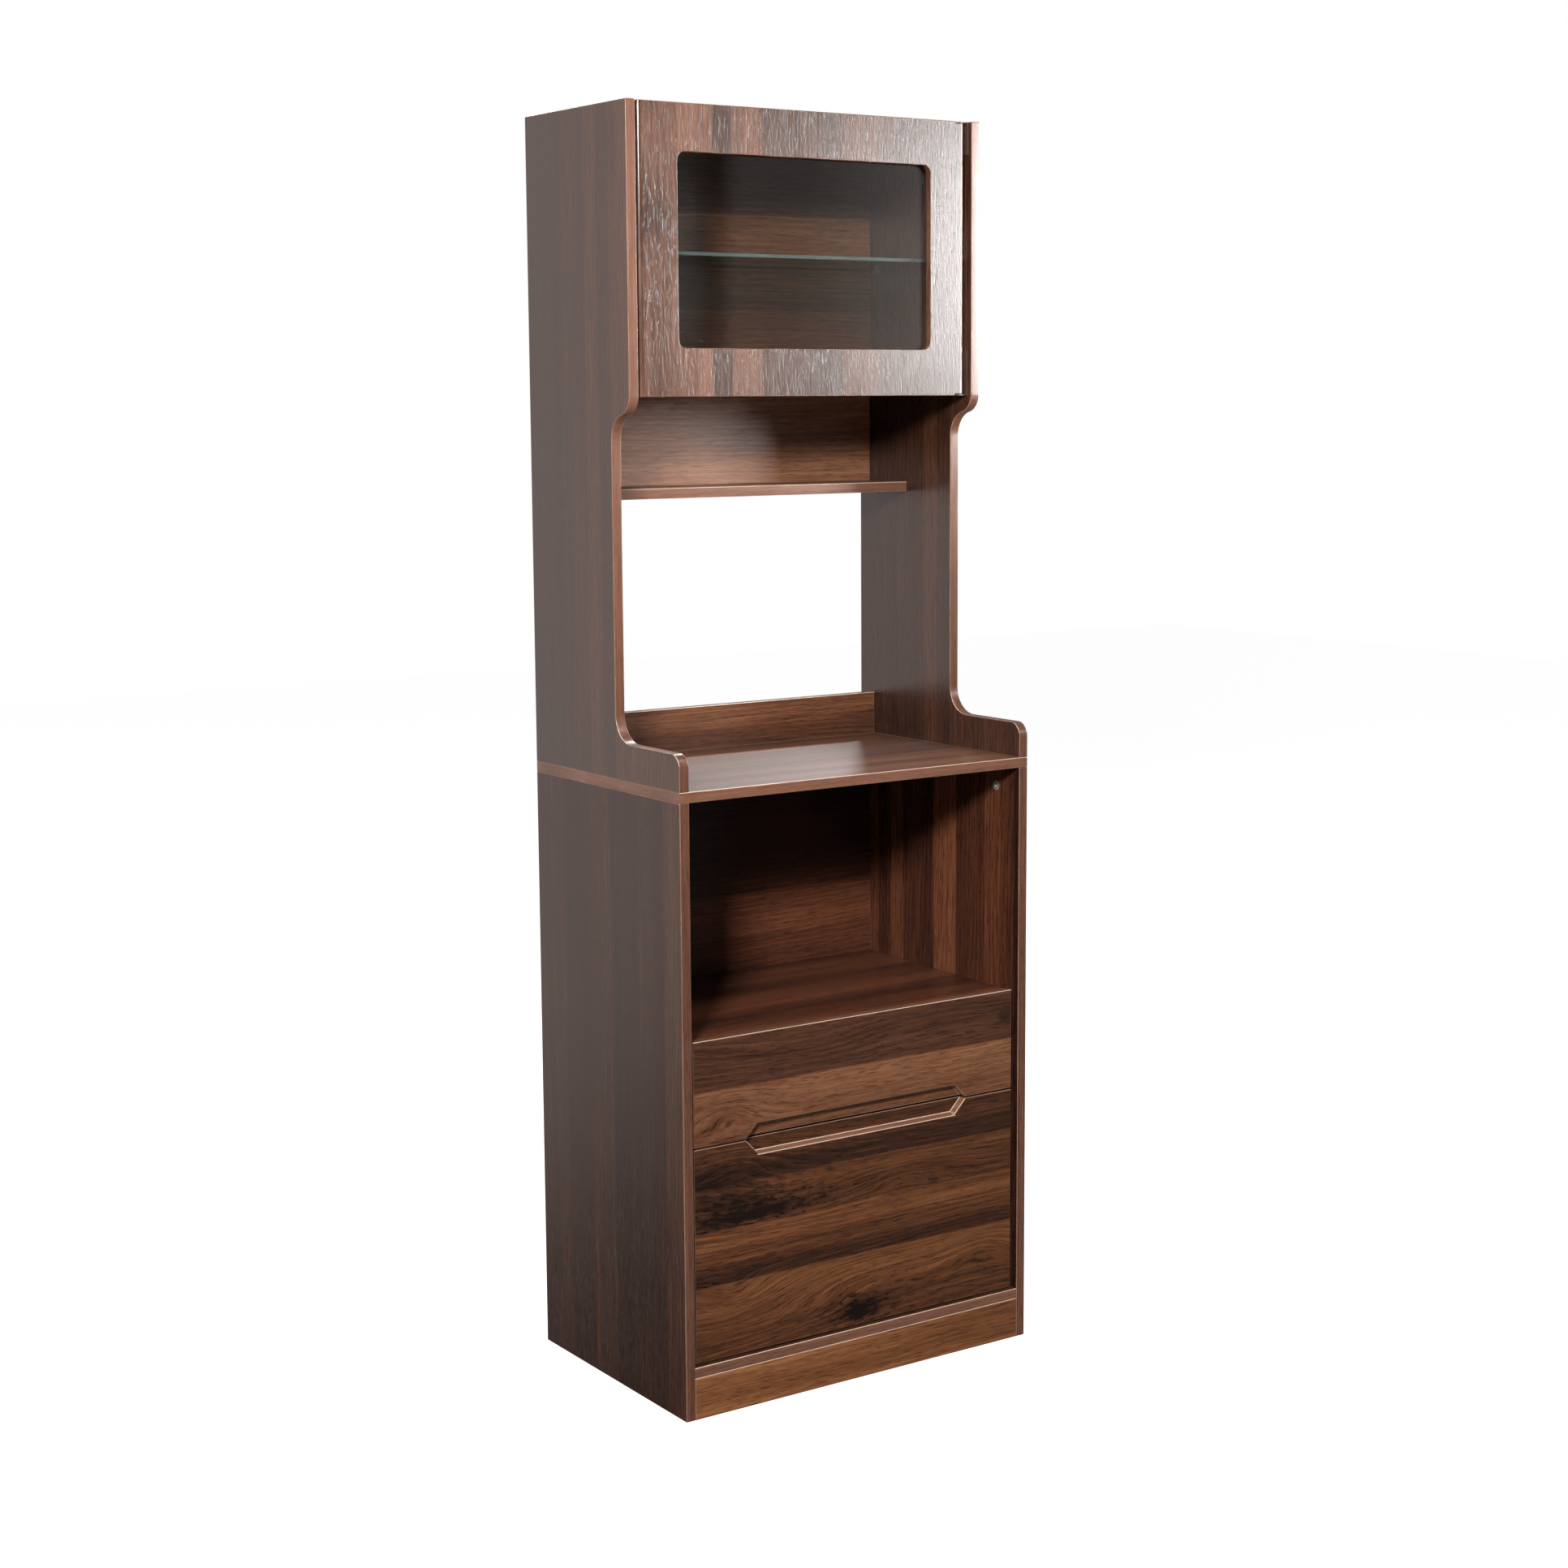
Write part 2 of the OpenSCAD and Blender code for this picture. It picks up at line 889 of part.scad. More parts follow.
// The pivots carry the door at its rounded right edge. A bracket has a leaf let into the door's end, a
// strip beside the door and a plate on the hutch side behind it. This one is the lower one.
module pivot_bracket(reach) {
    leaf_z = seat_gap;
    plate_z = leaf_z + reach;
    translate([pivot_x, door_mid_y, leaf_z])
        cylinder(d = leaf_w, h = bracket_t);
    block([pivot_x, door_mid_y - leaf_w / 2, leaf_z], [inner_x, door_mid_y + leaf_w / 2, leaf_z + bracket_t]);
    translate([pivot_x, door_mid_y, leaf_z])
        cylinder(d = pin_d, h = bracket_t + bush_l);
    difference() {
        union() {
            block([inner_x - bracket_t, door_mid_y - leaf_w / 2, leaf_z],
                [inner_x, door_mid_y + leaf_w / 2, plate_z + plate_h]);
            block([inner_x - bracket_t, door_mid_y - leaf_w / 2, plate_z],
                [inner_x, door_mid_y - leaf_w / 2 + plate_l, plate_z + plate_h]);
        }
        plate_screw_places(plate_z)
            screw_hole(fix_screw_l);
    }
}

module plate_screw_places(plate_z) {
    for (z = [screw_inset, plate_h - screw_inset])
        translate([inner_x - bracket_t, door_mid_y - leaf_w / 2 + plate_l - screw_inset, plate_z + z])
            children();
}

module pivot_brackets() {
    color(dark_steel) {
        translate([0, 0, door_z])
            pivot_bracket(lower_reach);
        translate([0, 0, height])
            mirror([0, 0, 1])
                pivot_bracket(upper_reach);
    }
}

module pivot_screw_places() {
    translate([0, 0, door_z])
        plate_screw_places(seat_gap + lower_reach)
            children();
    translate([0, 0, height])
        mirror([0, 0, 1])
            plate_screw_places(seat_gap + upper_reach)
                children();
}

module pivot_bracket_screws() {
    color(dark_steel)
        pivot_screw_places()
            screw(fix_screw_l);
}

// The catch hangs under the top board, near the door's free edge
module magnetic_catch() {
    color(dark_steel)
        difference() {
            block([catch_x, door_back_y + strike_size[1] + seat_gap, top_under - catch_size[2]],
                [catch_x + catch_size[0], door_back_y + strike_size[1] + seat_gap + catch_size[1],
                    top_under]);
            catch_screw_places()
                catch_screw_hole();
        }
}

module catch_screw_hole() {
    translate([-catch_size[2], 0, 0])
        screw_hole(fix_screw_l + catch_size[2]);
    translate([-catch_size[2], 0, 0])
        rod_x(screw_head_d + 2 * seat_gap, catch_size[2] - catch_screw_in);
}

module catch_screw_places() {
    for (x = [screw_inset, catch_size[0] - screw_inset])
        translate([catch_x + x, door_back_y + strike_size[1] + seat_gap + catch_size[1] / 2, top_under])
            rotate([0, -90, 0])
                children();
}

module catch_screws() {
    color(steel)
        catch_screw_places()
            translate([-catch_screw_in, 0, 0])
                screw(catch_screw_l);
}

// Outline of a window-like opening, grown by a margin on every side
module window_outline(grow, r) {
    half = [window_w / 2 + grow, window_h / 2 + grow];
    square([2 * half[0], 2 * (half[1] - r)], center = true);
    square([2 * (half[0] - r), 2 * half[1]], center = true);
    for (x = [-1, 1], y = [-1, 1])
        translate([x * (half[0] - r), y * (half[1] - r)])
            circle(r = r, $fn = 64);
}

// A window-like slab from height y0, t thick
module window_slab(grow, r, y0, t) {
    translate([0, y0 + t, window_z + window_h / 2])
        rotate([90, 0, 0])
            linear_extrude(height = t)
                window_outline(grow, r);
}

module door_frame() {
    color(wood)
        difference() {
            union() {
                block([-pivot_x, door_y, door_z], [pivot_x, door_back_y, height]);
                for (x = [-pivot_x, pivot_x])
                    translate([x, door_mid_y, door_z])
                        cylinder(d = board_t, h = door_h, $fn = 64);
            }
            window_slab(0, window_r, door_y - over, board_t + 2 * over);
            window_slab(rebate_w, window_r, door_back_y - rebate_d, rebate_d + over);
            // The notches and bores at the pivots
            for (z = [door_z - over, height - notch_d])
                block([pivot_x - notch_l, door_y - over, z],
                    [inner_x, door_back_y + over, z + notch_d + over]);
            for (z = [door_z, height - notch_d - bush_l - seat_gap])
                translate([pivot_x, door_mid_y, z])
                    cylinder(d = bush_d + 2 * fit_gap, h = notch_d + bush_l + seat_gap);
            clip_screw_places()
                screw_hole(fix_screw_l - thin_screw_cut);
            strike_screw_places()
                screw_hole(fix_screw_l - thin_screw_cut);
        }
}

module door_glass() {
    color(glass_tint, 0.4)
        window_slab(rebate_w - pane_gap, window_r - pane_gap, door_back_y - rebate_d, pane_t);
}

// Places of the clips round the glass: across the rebate's edge, with x pointing into the door
module clip_places() {
    half_w = window_w / 2 + rebate_w;
    half_h = window_h / 2 + rebate_w;
    translate([0, door_back_y, window_z + window_h / 2])
        for (x = [-1, 1]) {
            for (z = [-0.6, 0.6])
                translate([x * half_w, 0, z * half_h])
                    rotate([0, x > 0 ? 0 : 180, 0])
                        children();
            translate([x * half_w / 2, 0, half_h])
                rotate([0, -90, 0])
                    children();
            translate([x * half_w / 2, 0, -half_h])
                rotate([0, 90, 0])
                    children();
        }
}

module clip_screw_places() {
    clip_places()
        translate([pane_clip[1] / 4, pane_clip[2], 0])
            rotate([0, 0, -90])
                children();
}

module glass_clips() {
    color(plastic)
        difference() {
            clip_places()
                block([-pane_clip[1] / 2, 0, -pane_clip[0] / 2],
                    [pane_clip[1] / 2, pane_clip[2], pane_clip[0] / 2]);
            clip_screw_places()
                screw_hole(fix_screw_l);
        }
}

module glass_clip_screws() {
    color(steel)
        clip_screw_places()
            screw(fix_screw_l - thin_screw_cut);
}

module pivot_bushes() {
    color(plastic)
        for (z = [door_z + notch_d, height - notch_d - bush_l])
            translate([pivot_x, door_mid_y, z])
                difference() {
                    cylinder(d = bush_d, h = bush_l);
                    translate([0, 0, -over])
                        cylinder(d = pin_d + 2 * fit_gap, h = bush_l + 2 * over);
                }
}

module door_bumpers() {
    color(plastic)
        for (z = [cabinet_floor_z + board_t / 2, top_under + board_t / 2])
            translate([-pivot_x + bumper_inset, door_back_y, z])
                rotate([-90, 0, 0])
                    cylinder(d = bumper_d, h = door_back_gap - seat_gap);
}

module strike_plate() {
    color(steel)
        difference() {
            block([strike_x, door_back_y, strike_z],
                [strike_x + strike_size[0], door_back_y + strike_size[1], strike_z + strike_size[2]]);
            strike_screw_places()
                translate([-over, 0, 0])
                    rod_x(screw_head_d + 2 * fit_gap, 2 * over + strike_size[1]);
        }
}

module strike_screw_places() {
    translate([strike_x + strike_size[0] / 2, door_back_y + strike_size[1], strike_z + strike_size[2] / 2])
        rotate([0, 0, -90])
            children();
}

module strike_screws() {
    color(steel)
        strike_screw_places() {
            rod_x(screw_head_d, strike_size[1]);
            rod_x(screw_d, strike_screw_l);
        }
}

// Outline of a front's half of the finger pull, with z up from the edge where the fronts meet
module pull_outline(h) {
    half = pull_w / 2;
    inner = half - pull_slant;
    polygon([[-half, -over], [half, -over], [half, 0], [inner, h], [-inner, h], [-half, 0]]);
}

// The cut of a pull's half, h high, with z up from the front's edge
module pull_cut(h) {
    translate([0, front_face_y + pull_depth, 0])
        rotate([90, 0, 0])
            linear_extrude(height = pull_depth + over)
                pull_outline(h);
}

// Places of the cam locks that hold a drawer front
module drawer_cam_places(z, h) {
    both_sides()
        for (dz = [h / 5, h * 4 / 5])
            translate([-box_x + box_t / 2, front_back_y, z + dz])
                rotate([90, 0, -90])
                    children();
}

module upper_drawer_cam_places() {
    drawer_cam_places(upper_box_z, upper_box_h)
        children();
}

module lower_drawer_cam_places() {
    drawer_cam_places(lower_box_z, lower_box_h)
        children();
}

module upper_drawer_front() {
    color(wood)
        difference() {
            block([-front_w / 2, front_face_y, upper_front_z], [front_w / 2, front_back_y, upper_front_top]);
            translate([0, 0, upper_front_z])
                pull_cut(pull_up_h);
            upper_drawer_cam_places()
                cam_holes(box_t);
        }
}

module lower_drawer_front() {
    slope_x = pull_w / 2 - pull_slant;
    color(wood)
        difference() {
            block([-front_w / 2, front_face_y, lower_front_z], [front_w / 2, front_back_y, lower_front_top]);
            translate([0, 0, lower_front_top])
                mirror([0, 0, 1])
                    pull_cut(pull_down_h - pull_slope_h);
            // The lower wall slopes down to the front
            translate([-slope_x, front_face_y, lower_front_top - pull_down_h])
                rotate([90, 0, 90])
                    linear_extrude(height = 2 * slope_x)
                        polygon([[-over, 0], [0, 0], [pull_depth, pull_slope_h],
                            [pull_depth, pull_slope_h + over], [-over, pull_slope_h + over]]);
            lower_drawer_cam_places()
                cam_holes(box_t);
        }
}

// Places of the screws that hold a drawer's back between its sides
module back_screw_places(z, h) {
    both_sides()
        for (dz = [bottom_lift + bottom_t + box_screw_inset, h - box_screw_inset])
            translate([box_x, box_back_y - box_t / 2, z + dz])
                mirror([1, 0, 0])
                    children();
}

module back_screw_hole() {
    screw_hole(box_t + fix_screw_l);
    rod_x(screw_head_d + 2 * fit_gap, screw_head_h + seat_gap);
}

module drawer_side(right, z, h, runner_z) {
    groove_z = z + bottom_lift;
    color(wood_side)
        at_side(right)
            difference() {
                block([box_inner_x, front_back_y, z], [box_x, box_back_y, z + h]);
                block([box_inner_x - over, front_back_y - over, groove_z - fit_gap],
                    [box_inner_x + groove_d, box_back_y + over, groove_z + bottom_t + fit_gap]);
                drawer_cam_places(z, h)
                    cam_holes(box_t);
                back_screw_places(z, h)
                    back_screw_hole();
                drawer_runner_screw_places(runner_z)
                    screw_hole(runner_screw_l - thin_screw_cut);
            }
}

module drawer_back(z, h) {
    color(wood_side)
        difference() {
            block([-box_inner_x, box_back_y - box_t, z + bottom_lift + bottom_t],
                [box_inner_x, box_back_y, z + h]);
            back_screw_places(z, h)
                back_screw_hole();
        }
}

module drawer_bottom(z) {
    reach = box_inner_x + groove_d - seat_gap;
    color(wood_dark)
        block([-reach, front_back_y, z + bottom_lift], [reach, box_back_y, z + bottom_lift + bottom_t]);
}

module drawer_back_screws(z, h) {
    color(steel)
        back_screw_places(z, h)
            translate([screw_head_h, 0, 0])
                screw(box_t + fix_screw_l - screw_head_h);
}

module drawer_runner_screws(z) {
    color(steel)
        drawer_runner_screw_places(z)
            screw(runner_screw_l - thin_screw_cut);
}

module upper_drawer_left_side() {
    drawer_side(false, upper_box_z, upper_box_h, upper_runner_z);
}

module upper_drawer_right_side() {
    drawer_side(true, upper_box_z, upper_box_h, upper_runner_z);
}

module upper_drawer_back() {
    drawer_back(upper_box_z, upper_box_h);
}

module upper_drawer_bottom() {
    drawer_bottom(upper_box_z);
}

module upper_drawer_left_runner() {
    drawer_runner(false, upper_runner_z);
}

module upper_drawer_right_runner() {
    drawer_runner(true, upper_runner_z);
}

module upper_drawer_cam_locks() {
    color(steel)
        upper_drawer_cam_places()
            cam_lock(box_t);
}

module upper_drawer_cam_bolts() {
    color(steel)
        upper_drawer_cam_places()
            cam_bolt();
}

module upper_drawer_screws() {
    drawer_back_screws(upper_box_z, upper_box_h);
}

module upper_drawer_runner_screws() {
    drawer_runner_screws(upper_runner_z);
}

module lower_drawer_left_side() {
    drawer_side(false, lower_box_z, lower_box_h, lower_runner_z);
}

module lower_drawer_right_side() {
    drawer_side(true, lower_box_z, lower_box_h, lower_runner_z);
}

module lower_drawer_back() {
    drawer_back(lower_box_z, lower_box_h);
}

module lower_drawer_bottom() {
    drawer_bottom(lower_box_z);
}

module lower_drawer_left_runner() {
    drawer_runner(false, lower_runner_z);
}

module lower_drawer_right_runner() {
    drawer_runner(true, lower_runner_z);
}

module lower_drawer_cam_locks() {
    color(steel)
        lower_drawer_cam_places()
            cam_lock(box_t);
}

module lower_drawer_cam_bolts() {
    color(steel)
        lower_drawer_cam_places()
            cam_bolt();
}

module lower_drawer_screws() {
    drawer_back_screws(lower_box_z, lower_box_h);
}

module lower_drawer_runner_screws() {
    drawer_runner_screws(lower_runner_z);
}

left_side();
right_side();
kick_board();
bottom_board();
countertop();
lower_back_panel();
bay_shelf();
hutch_left_side();
hutch_right_side();
hutch_top();
cabinet_floor();
hutch_back_panel();
shallow_shelf();
backsplash_rail();
glass_shelf();
shelf_pins();
cam_locks();
cam_bolts();
dowels();
rail_screws();
upper_left_cabinet_runner();
upper_right_cabinet_runner();
lower_left_cabinet_runner();
lower_right_cabinet_runner();
cabinet_runner_screws();
pivot_brackets();
pivot_bracket_screws();
magnetic_catch();
catch_screws();
door_frame();
door_glass();
glass_clips();
glass_clip_screws();
pivot_bushes();
door_bumpers();
strike_plate();
strike_screws();
upper_drawer_front();
upper_drawer_left_side();
upper_drawer_right_side();
upper_drawer_back();
upper_drawer_bottom();
upper_drawer_left_runner();
upper_drawer_right_runner();
upper_drawer_cam_locks();
upper_drawer_cam_bolts();
upper_drawer_screws();
upper_drawer_runner_screws();
lower_drawer_front();
lower_drawer_left_side();
lower_drawer_right_side();
lower_drawer_back();
lower_drawer_bottom();
lower_drawer_left_runner();
lower_drawer_right_runner();
lower_drawer_cam_locks();
lower_drawer_cam_bolts();
lower_drawer_screws();
lower_drawer_runner_screws();
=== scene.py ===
"""Looks of the kitchen hutch: dark walnut laminate boards, a clear glass door and plain studio light."""
import json
import math

import bmesh
import bpy
from mathutils import Matrix, Vector


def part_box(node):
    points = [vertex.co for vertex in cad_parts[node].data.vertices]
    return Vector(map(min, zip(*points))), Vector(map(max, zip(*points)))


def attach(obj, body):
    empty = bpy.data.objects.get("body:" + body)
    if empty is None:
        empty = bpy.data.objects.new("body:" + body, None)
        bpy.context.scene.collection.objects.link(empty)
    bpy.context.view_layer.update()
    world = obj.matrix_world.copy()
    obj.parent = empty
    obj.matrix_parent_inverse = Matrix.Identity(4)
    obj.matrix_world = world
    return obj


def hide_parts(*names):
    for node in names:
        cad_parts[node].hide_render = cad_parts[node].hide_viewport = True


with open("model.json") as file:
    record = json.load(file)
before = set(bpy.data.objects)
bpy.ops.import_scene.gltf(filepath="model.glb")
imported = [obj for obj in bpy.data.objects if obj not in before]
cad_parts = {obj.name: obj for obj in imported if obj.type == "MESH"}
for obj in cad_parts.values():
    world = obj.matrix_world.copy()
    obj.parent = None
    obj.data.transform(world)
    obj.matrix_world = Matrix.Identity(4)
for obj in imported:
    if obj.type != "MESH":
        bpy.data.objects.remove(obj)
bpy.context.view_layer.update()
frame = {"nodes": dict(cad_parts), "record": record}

SCENE = bpy.context.scene
NODES = frame["nodes"]
BODY_OF = {node: body for body, nodes in frame["record"]["behaviour"]["bodies"].items() for node in nodes}
SLOT_OF = {row["node"]: row["material_slot"] for row in frame["record"]["subparts"]}
MM = 0.001

# Axes that a board's grain runs along or across
X_AXIS, Y_AXIS, Z_AXIS = "X", "Y", "Z"

# Tones of each laminate and wood, from the darkest to the lightest, as (tone, linear colour)
WALNUT = [(0.0, (0.0096, 0.0045, 0.003)), (0.3, (0.041, 0.0155, 0.0085)), (0.55, (0.105, 0.0385, 0.0175)),
          (0.78, (0.2, 0.082, 0.038)), (1.0, (0.33, 0.16, 0.085))]
RED_WALNUT = [(0.0, (0.0096, 0.0042, 0.003)), (0.3, (0.043, 0.0148, 0.0085)), (0.55, (0.115, 0.037, 0.0172)),
              (0.78, (0.22, 0.077, 0.036)), (1.0, (0.36, 0.15, 0.078))]
ORANGE_WALNUT = [(0.0, (0.0096, 0.0045, 0.003)), (0.3, (0.042, 0.0155, 0.0075)),
                 (0.55, (0.11, 0.038, 0.0135)), (0.78, (0.21, 0.078, 0.027)), (1.0, (0.34, 0.15, 0.06))]
DOOR_WALNUT = [(0.0, (0.014, 0.0075, 0.005)), (0.3, (0.053, 0.023, 0.0135)), (0.55, (0.13, 0.057, 0.032)),
               (0.78, (0.225, 0.108, 0.064)), (1.0, (0.36, 0.205, 0.13))]
EDGE = [(0.0, (0.05, 0.022, 0.013)), (0.4, (0.135, 0.057, 0.034)), (0.7, (0.21, 0.095, 0.058)),
        (1.0, (0.32, 0.18, 0.12))]
# Light arrises: wear together with a painted highlight, lightest on arrises that face up and to the front
WORN_AND_HIGHLIT = [(0.0, (0.2, 0.11, 0.075)), (0.5, (0.38, 0.24, 0.17)), (1.0, (0.64, 0.47, 0.36))]
BOX_FOIL = [(0.0, (0.13, 0.075, 0.045)), (0.5, (0.25, 0.155, 0.095)), (1.0, (0.38, 0.26, 0.17))]
CHIPBOARD = [(0.0, (0.16, 0.1, 0.055)), (0.5, (0.33, 0.22, 0.13)), (1.0, (0.52, 0.38, 0.24))]
BEECH = [(0.0, (0.36, 0.22, 0.12)), (0.5, (0.55, 0.37, 0.22)), (1.0, (0.66, 0.48, 0.31))]

# Height of the relief that a bump stands for
BUMP_HEIGHT = 0.2 * MM

# Waves per metre of the laminate's figure: along the grain, across it and through the board
SWAY_WAVES = (1.1, 3.0, 3.0)
RIPPLE_WAVES = (6.0, 14.0, 14.0)
BROAD_WAVES = (0.7, 15.0, 9.0)
MIDDLE_WAVES = (2.2, 55.0, 20.0)
STREAK_WAVES = (10.0, 400.0, 400.0)
PORE_WAVES = (45.0, 900.0, 900.0)
RING_BEND_WAVES = (1.4, 7.0, 9.0)
GLINT_WAVES = (70.0, 620.0, 620.0)
# How far the growth lines sway and ripple across the grain
SWAY_SIZE = 50 * MM
RIPPLE_SIZE = 8 * MM
# Phase of the growth lines per metre across the grain, and how far noise shifts it
RING_PHASE = 700.0
RING_SHIFT = 26.0
# Shares of tone: broad noise over tone bands, middle noise, and the depth of pores
BROAD_SHARE = 0.35
MIDDLE_SHARE = 0.3
PORE_DEPTH = 0.24
# Ranges of the noise over which broad tones swing, pores darken, pores sink and painted glints lighten the
# tone
BROAD_RANGE = (0.32, 0.68)
PORE_RANGE = (0.54, 0.68)
PORE_SINK_RANGE = (0.58, 0.72)
GLINT_RANGE = (0.5, 0.72)
# Heights of streaks and glints in the relief, where a pore is 1 deep
STREAK_RELIEF = 0.8
GLINT_RELIEF = 1.2
# How far a streak changes the roughness, and how much of a seed shifts the noise through the board
ROUGH_SWING = 0.12
DEEP_SHIFT = 3.1
# A knot: waves per metre of its frayed outline along and across the grain, the noise's range and what it
# multiplies the shade's fall by, bend of the lines round it, fall of its shade, and half its soft limit
FRAY_WAVES = (55.0, 160.0)
FRAY_RANGE = (0.36, 0.64)
FRAY_FALL = (0.25, 2.4)
KNOT_BEND = 0.25
KNOT_FALL = 0.8
KNOT_LIMIT_MM = 2


class Graph:
    """Short calls that add nodes to a node tree."""

    def __init__(self, tree):
        self.tree = tree
        tree.nodes.clear()

    def add(self, kind, inputs=None, **settings):
        node = self.tree.nodes.new(kind)
        for name, value in settings.items():
            setattr(node, name, value)
        for name, value in (inputs or {}).items():
            self.put(node.inputs[name], value)
        return node

    def put(self, socket, value):
        if isinstance(value, bpy.types.NodeSocket):
            self.tree.links.new(value, socket)
        elif isinstance(value, tuple) and len(value) == 3 and socket.type == "RGBA":
            socket.default_value = (*value, 1.0)
        else:
            socket.default_value = value

    def math(self, operation, a, b=0.0, c=0.0):
        node = self.add("ShaderNodeMath", {0: a, 1: b, 2: c}, operation=operation)
        return node.outputs[0]

    def scaled(self, value, factor, offset=0.0):
        return self.math("MULTIPLY_ADD", value, factor, offset)

    def vector(self, x, y, z):
        return self.add("ShaderNodeCombineXYZ", {"X": x, "Y": y, "Z": z}).outputs[0]

    def noise(self, vector, scale=1.0, detail=2.0, roughness=0.5):
        inputs = {"Vector": vector, "Scale": scale, "Detail": detail, "Roughness": roughness}
        return self.add("ShaderNodeTexNoise", inputs).outputs["Fac"]

    def ramp(self, value, stops):
        node = self.add("ShaderNodeValToRGB", {"Fac": value})
        points = node.color_ramp.elements
        while len(points) < len(stops):
            points.new(0.5)
        for point, (place, _) in zip(points, stops):
            point.position = place
        for point, (_, colour) in zip(points, stops):
            colour = colour if isinstance(colour, tuple) else (colour,) * 3
            point.color = (*colour, 1.0)
        return node.outputs["Color"]

    def mapped(self, value, low, high, out_low=0.0, out_high=1.0):
        inputs = {"Value": value, "From Min": low, "From Max": high, "To Min": out_low, "To Max": out_high}
        return self.add("ShaderNodeMapRange", inputs, interpolation_type="SMOOTHSTEP").outputs["Result"]

    def principled(self, bump, bump_strength, **inputs):
        shader = self.add("ShaderNodeBsdfPrincipled", {key.replace("_", " "): v for key, v in inputs.items()})
        relief = {"Strength": bump_strength, "Distance": BUMP_HEIGHT, "Height": bump}
        self.put(shader.inputs["Normal"], self.add("ShaderNodeBump", relief).outputs["Normal"])
        return shader

    def finish(self, shader):
        output = self.add("ShaderNodeOutputMaterial")
        self.put(output.inputs["Surface"], shader.outputs[0])


def material(name):
    """A new material and the graph to build it with."""
    new = bpy.data.materials.new(name)
    new.use_nodes = True
    return new, Graph(new.node_tree)


def stretched_noise(g, places, waves, seed, detail, deep_seed=0.0):
    """Noise with its own waves per metre along the grain, across it and through the board."""
    shifts = (seed, 0.0, deep_seed)
    moved = [g.scaled(place, wave, shift) for place, wave, shift in zip(places, waves, shifts)]
    return g.noise(g.vector(*moved), detail=detail)


def grain_places(g, along, across, seed):
    """The place along the grain, across it, across it with the lines' sway, and through the board."""
    split = g.add("ShaderNodeSeparateXYZ", {0: g.add("ShaderNodeTexCoord").outputs["Object"]})
    third = ({X_AXIS, Y_AXIS, Z_AXIS} - {along, across}).pop()
    u, v, w = (split.outputs[axis] for axis in (along, across, third))
    sway = stretched_noise(g, (u, v, w), SWAY_WAVES, seed, 1.0)
    ripple = stretched_noise(g, (u, v, w), RIPPLE_WAVES, seed, 2.0)
    bent = g.math("ADD", g.scaled(sway, SWAY_SIZE, -SWAY_SIZE / 2),
                  g.scaled(ripple, RIPPLE_SIZE, -RIPPLE_SIZE / 2))
    return u, v, g.math("ADD", v, bent), w


def nearness(g, u, v, spot):
    """A point's squared distance from a spot, its nearness, and how far across the grain it lies.

    A spot has its place along and across the grain, its length and its width, in mm.
    """
    along_mm, across_mm, long_mm, wide_mm = spot
    du = g.scaled(u, 1 / (long_mm * MM), -along_mm / long_mm)
    dv = g.scaled(v, 1 / (wide_mm * MM), -across_mm / wide_mm)
    square = g.math("MULTIPLY_ADD", du, du, g.math("MULTIPLY", dv, dv))
    return square, g.math("POWER", math.e, g.scaled(square, -0.5)), dv


def over_hills(g, u, v, flow, hills):
    """The lines' place, lifted into arches: each hill is a spot with its lift in mm."""
    for *spot, lift_mm in hills:
        near = nearness(g, u, v, spot)[1]
        flow = g.math("MULTIPLY_ADD", near, -lift_mm * MM, flow)
    return flow


def around_knots(g, u, v, flow, knots):
    """The lines' place, bent round the knots, and how dark the knots are. Each ends at its lower limit."""
    dark = 0.0
    along_waves, across_waves = FRAY_WAVES
    fray = g.noise(g.vector(g.scaled(u, along_waves), g.scaled(v, across_waves), 0.0), detail=5.0,
                   roughness=0.7)
    fray = g.mapped(fray, *FRAY_RANGE, *FRAY_FALL)
    for *spot, depth, limit in knots:
        square, near, dv = nearness(g, u, v, spot)
        flow = g.math("MULTIPLY_ADD", g.math("MULTIPLY", near, dv), -KNOT_BEND * spot[3] * MM, flow)
        shade = g.math("POWER", math.e, g.math("MULTIPLY", g.scaled(square, -KNOT_FALL), fray))
        over = g.mapped(v, (limit - KNOT_LIMIT_MM) * MM, (limit + KNOT_LIMIT_MM) * MM)
        dark = g.math("MULTIPLY_ADD", g.math("MULTIPLY", shade, over), depth, dark)
    return flow, dark


def tone_bands(g, v, bands):
    """A tone from bands listed as (place across the grain in mm, tone)."""
    low, high = bands[0][0], bands[-1][0]
    place = g.scaled(v, 1 / ((high - low) * MM), -low / (high - low))
    stops = [((across_mm - low) / (high - low), tone) for across_mm, tone in bands]
    return g.ramp(place, stops)


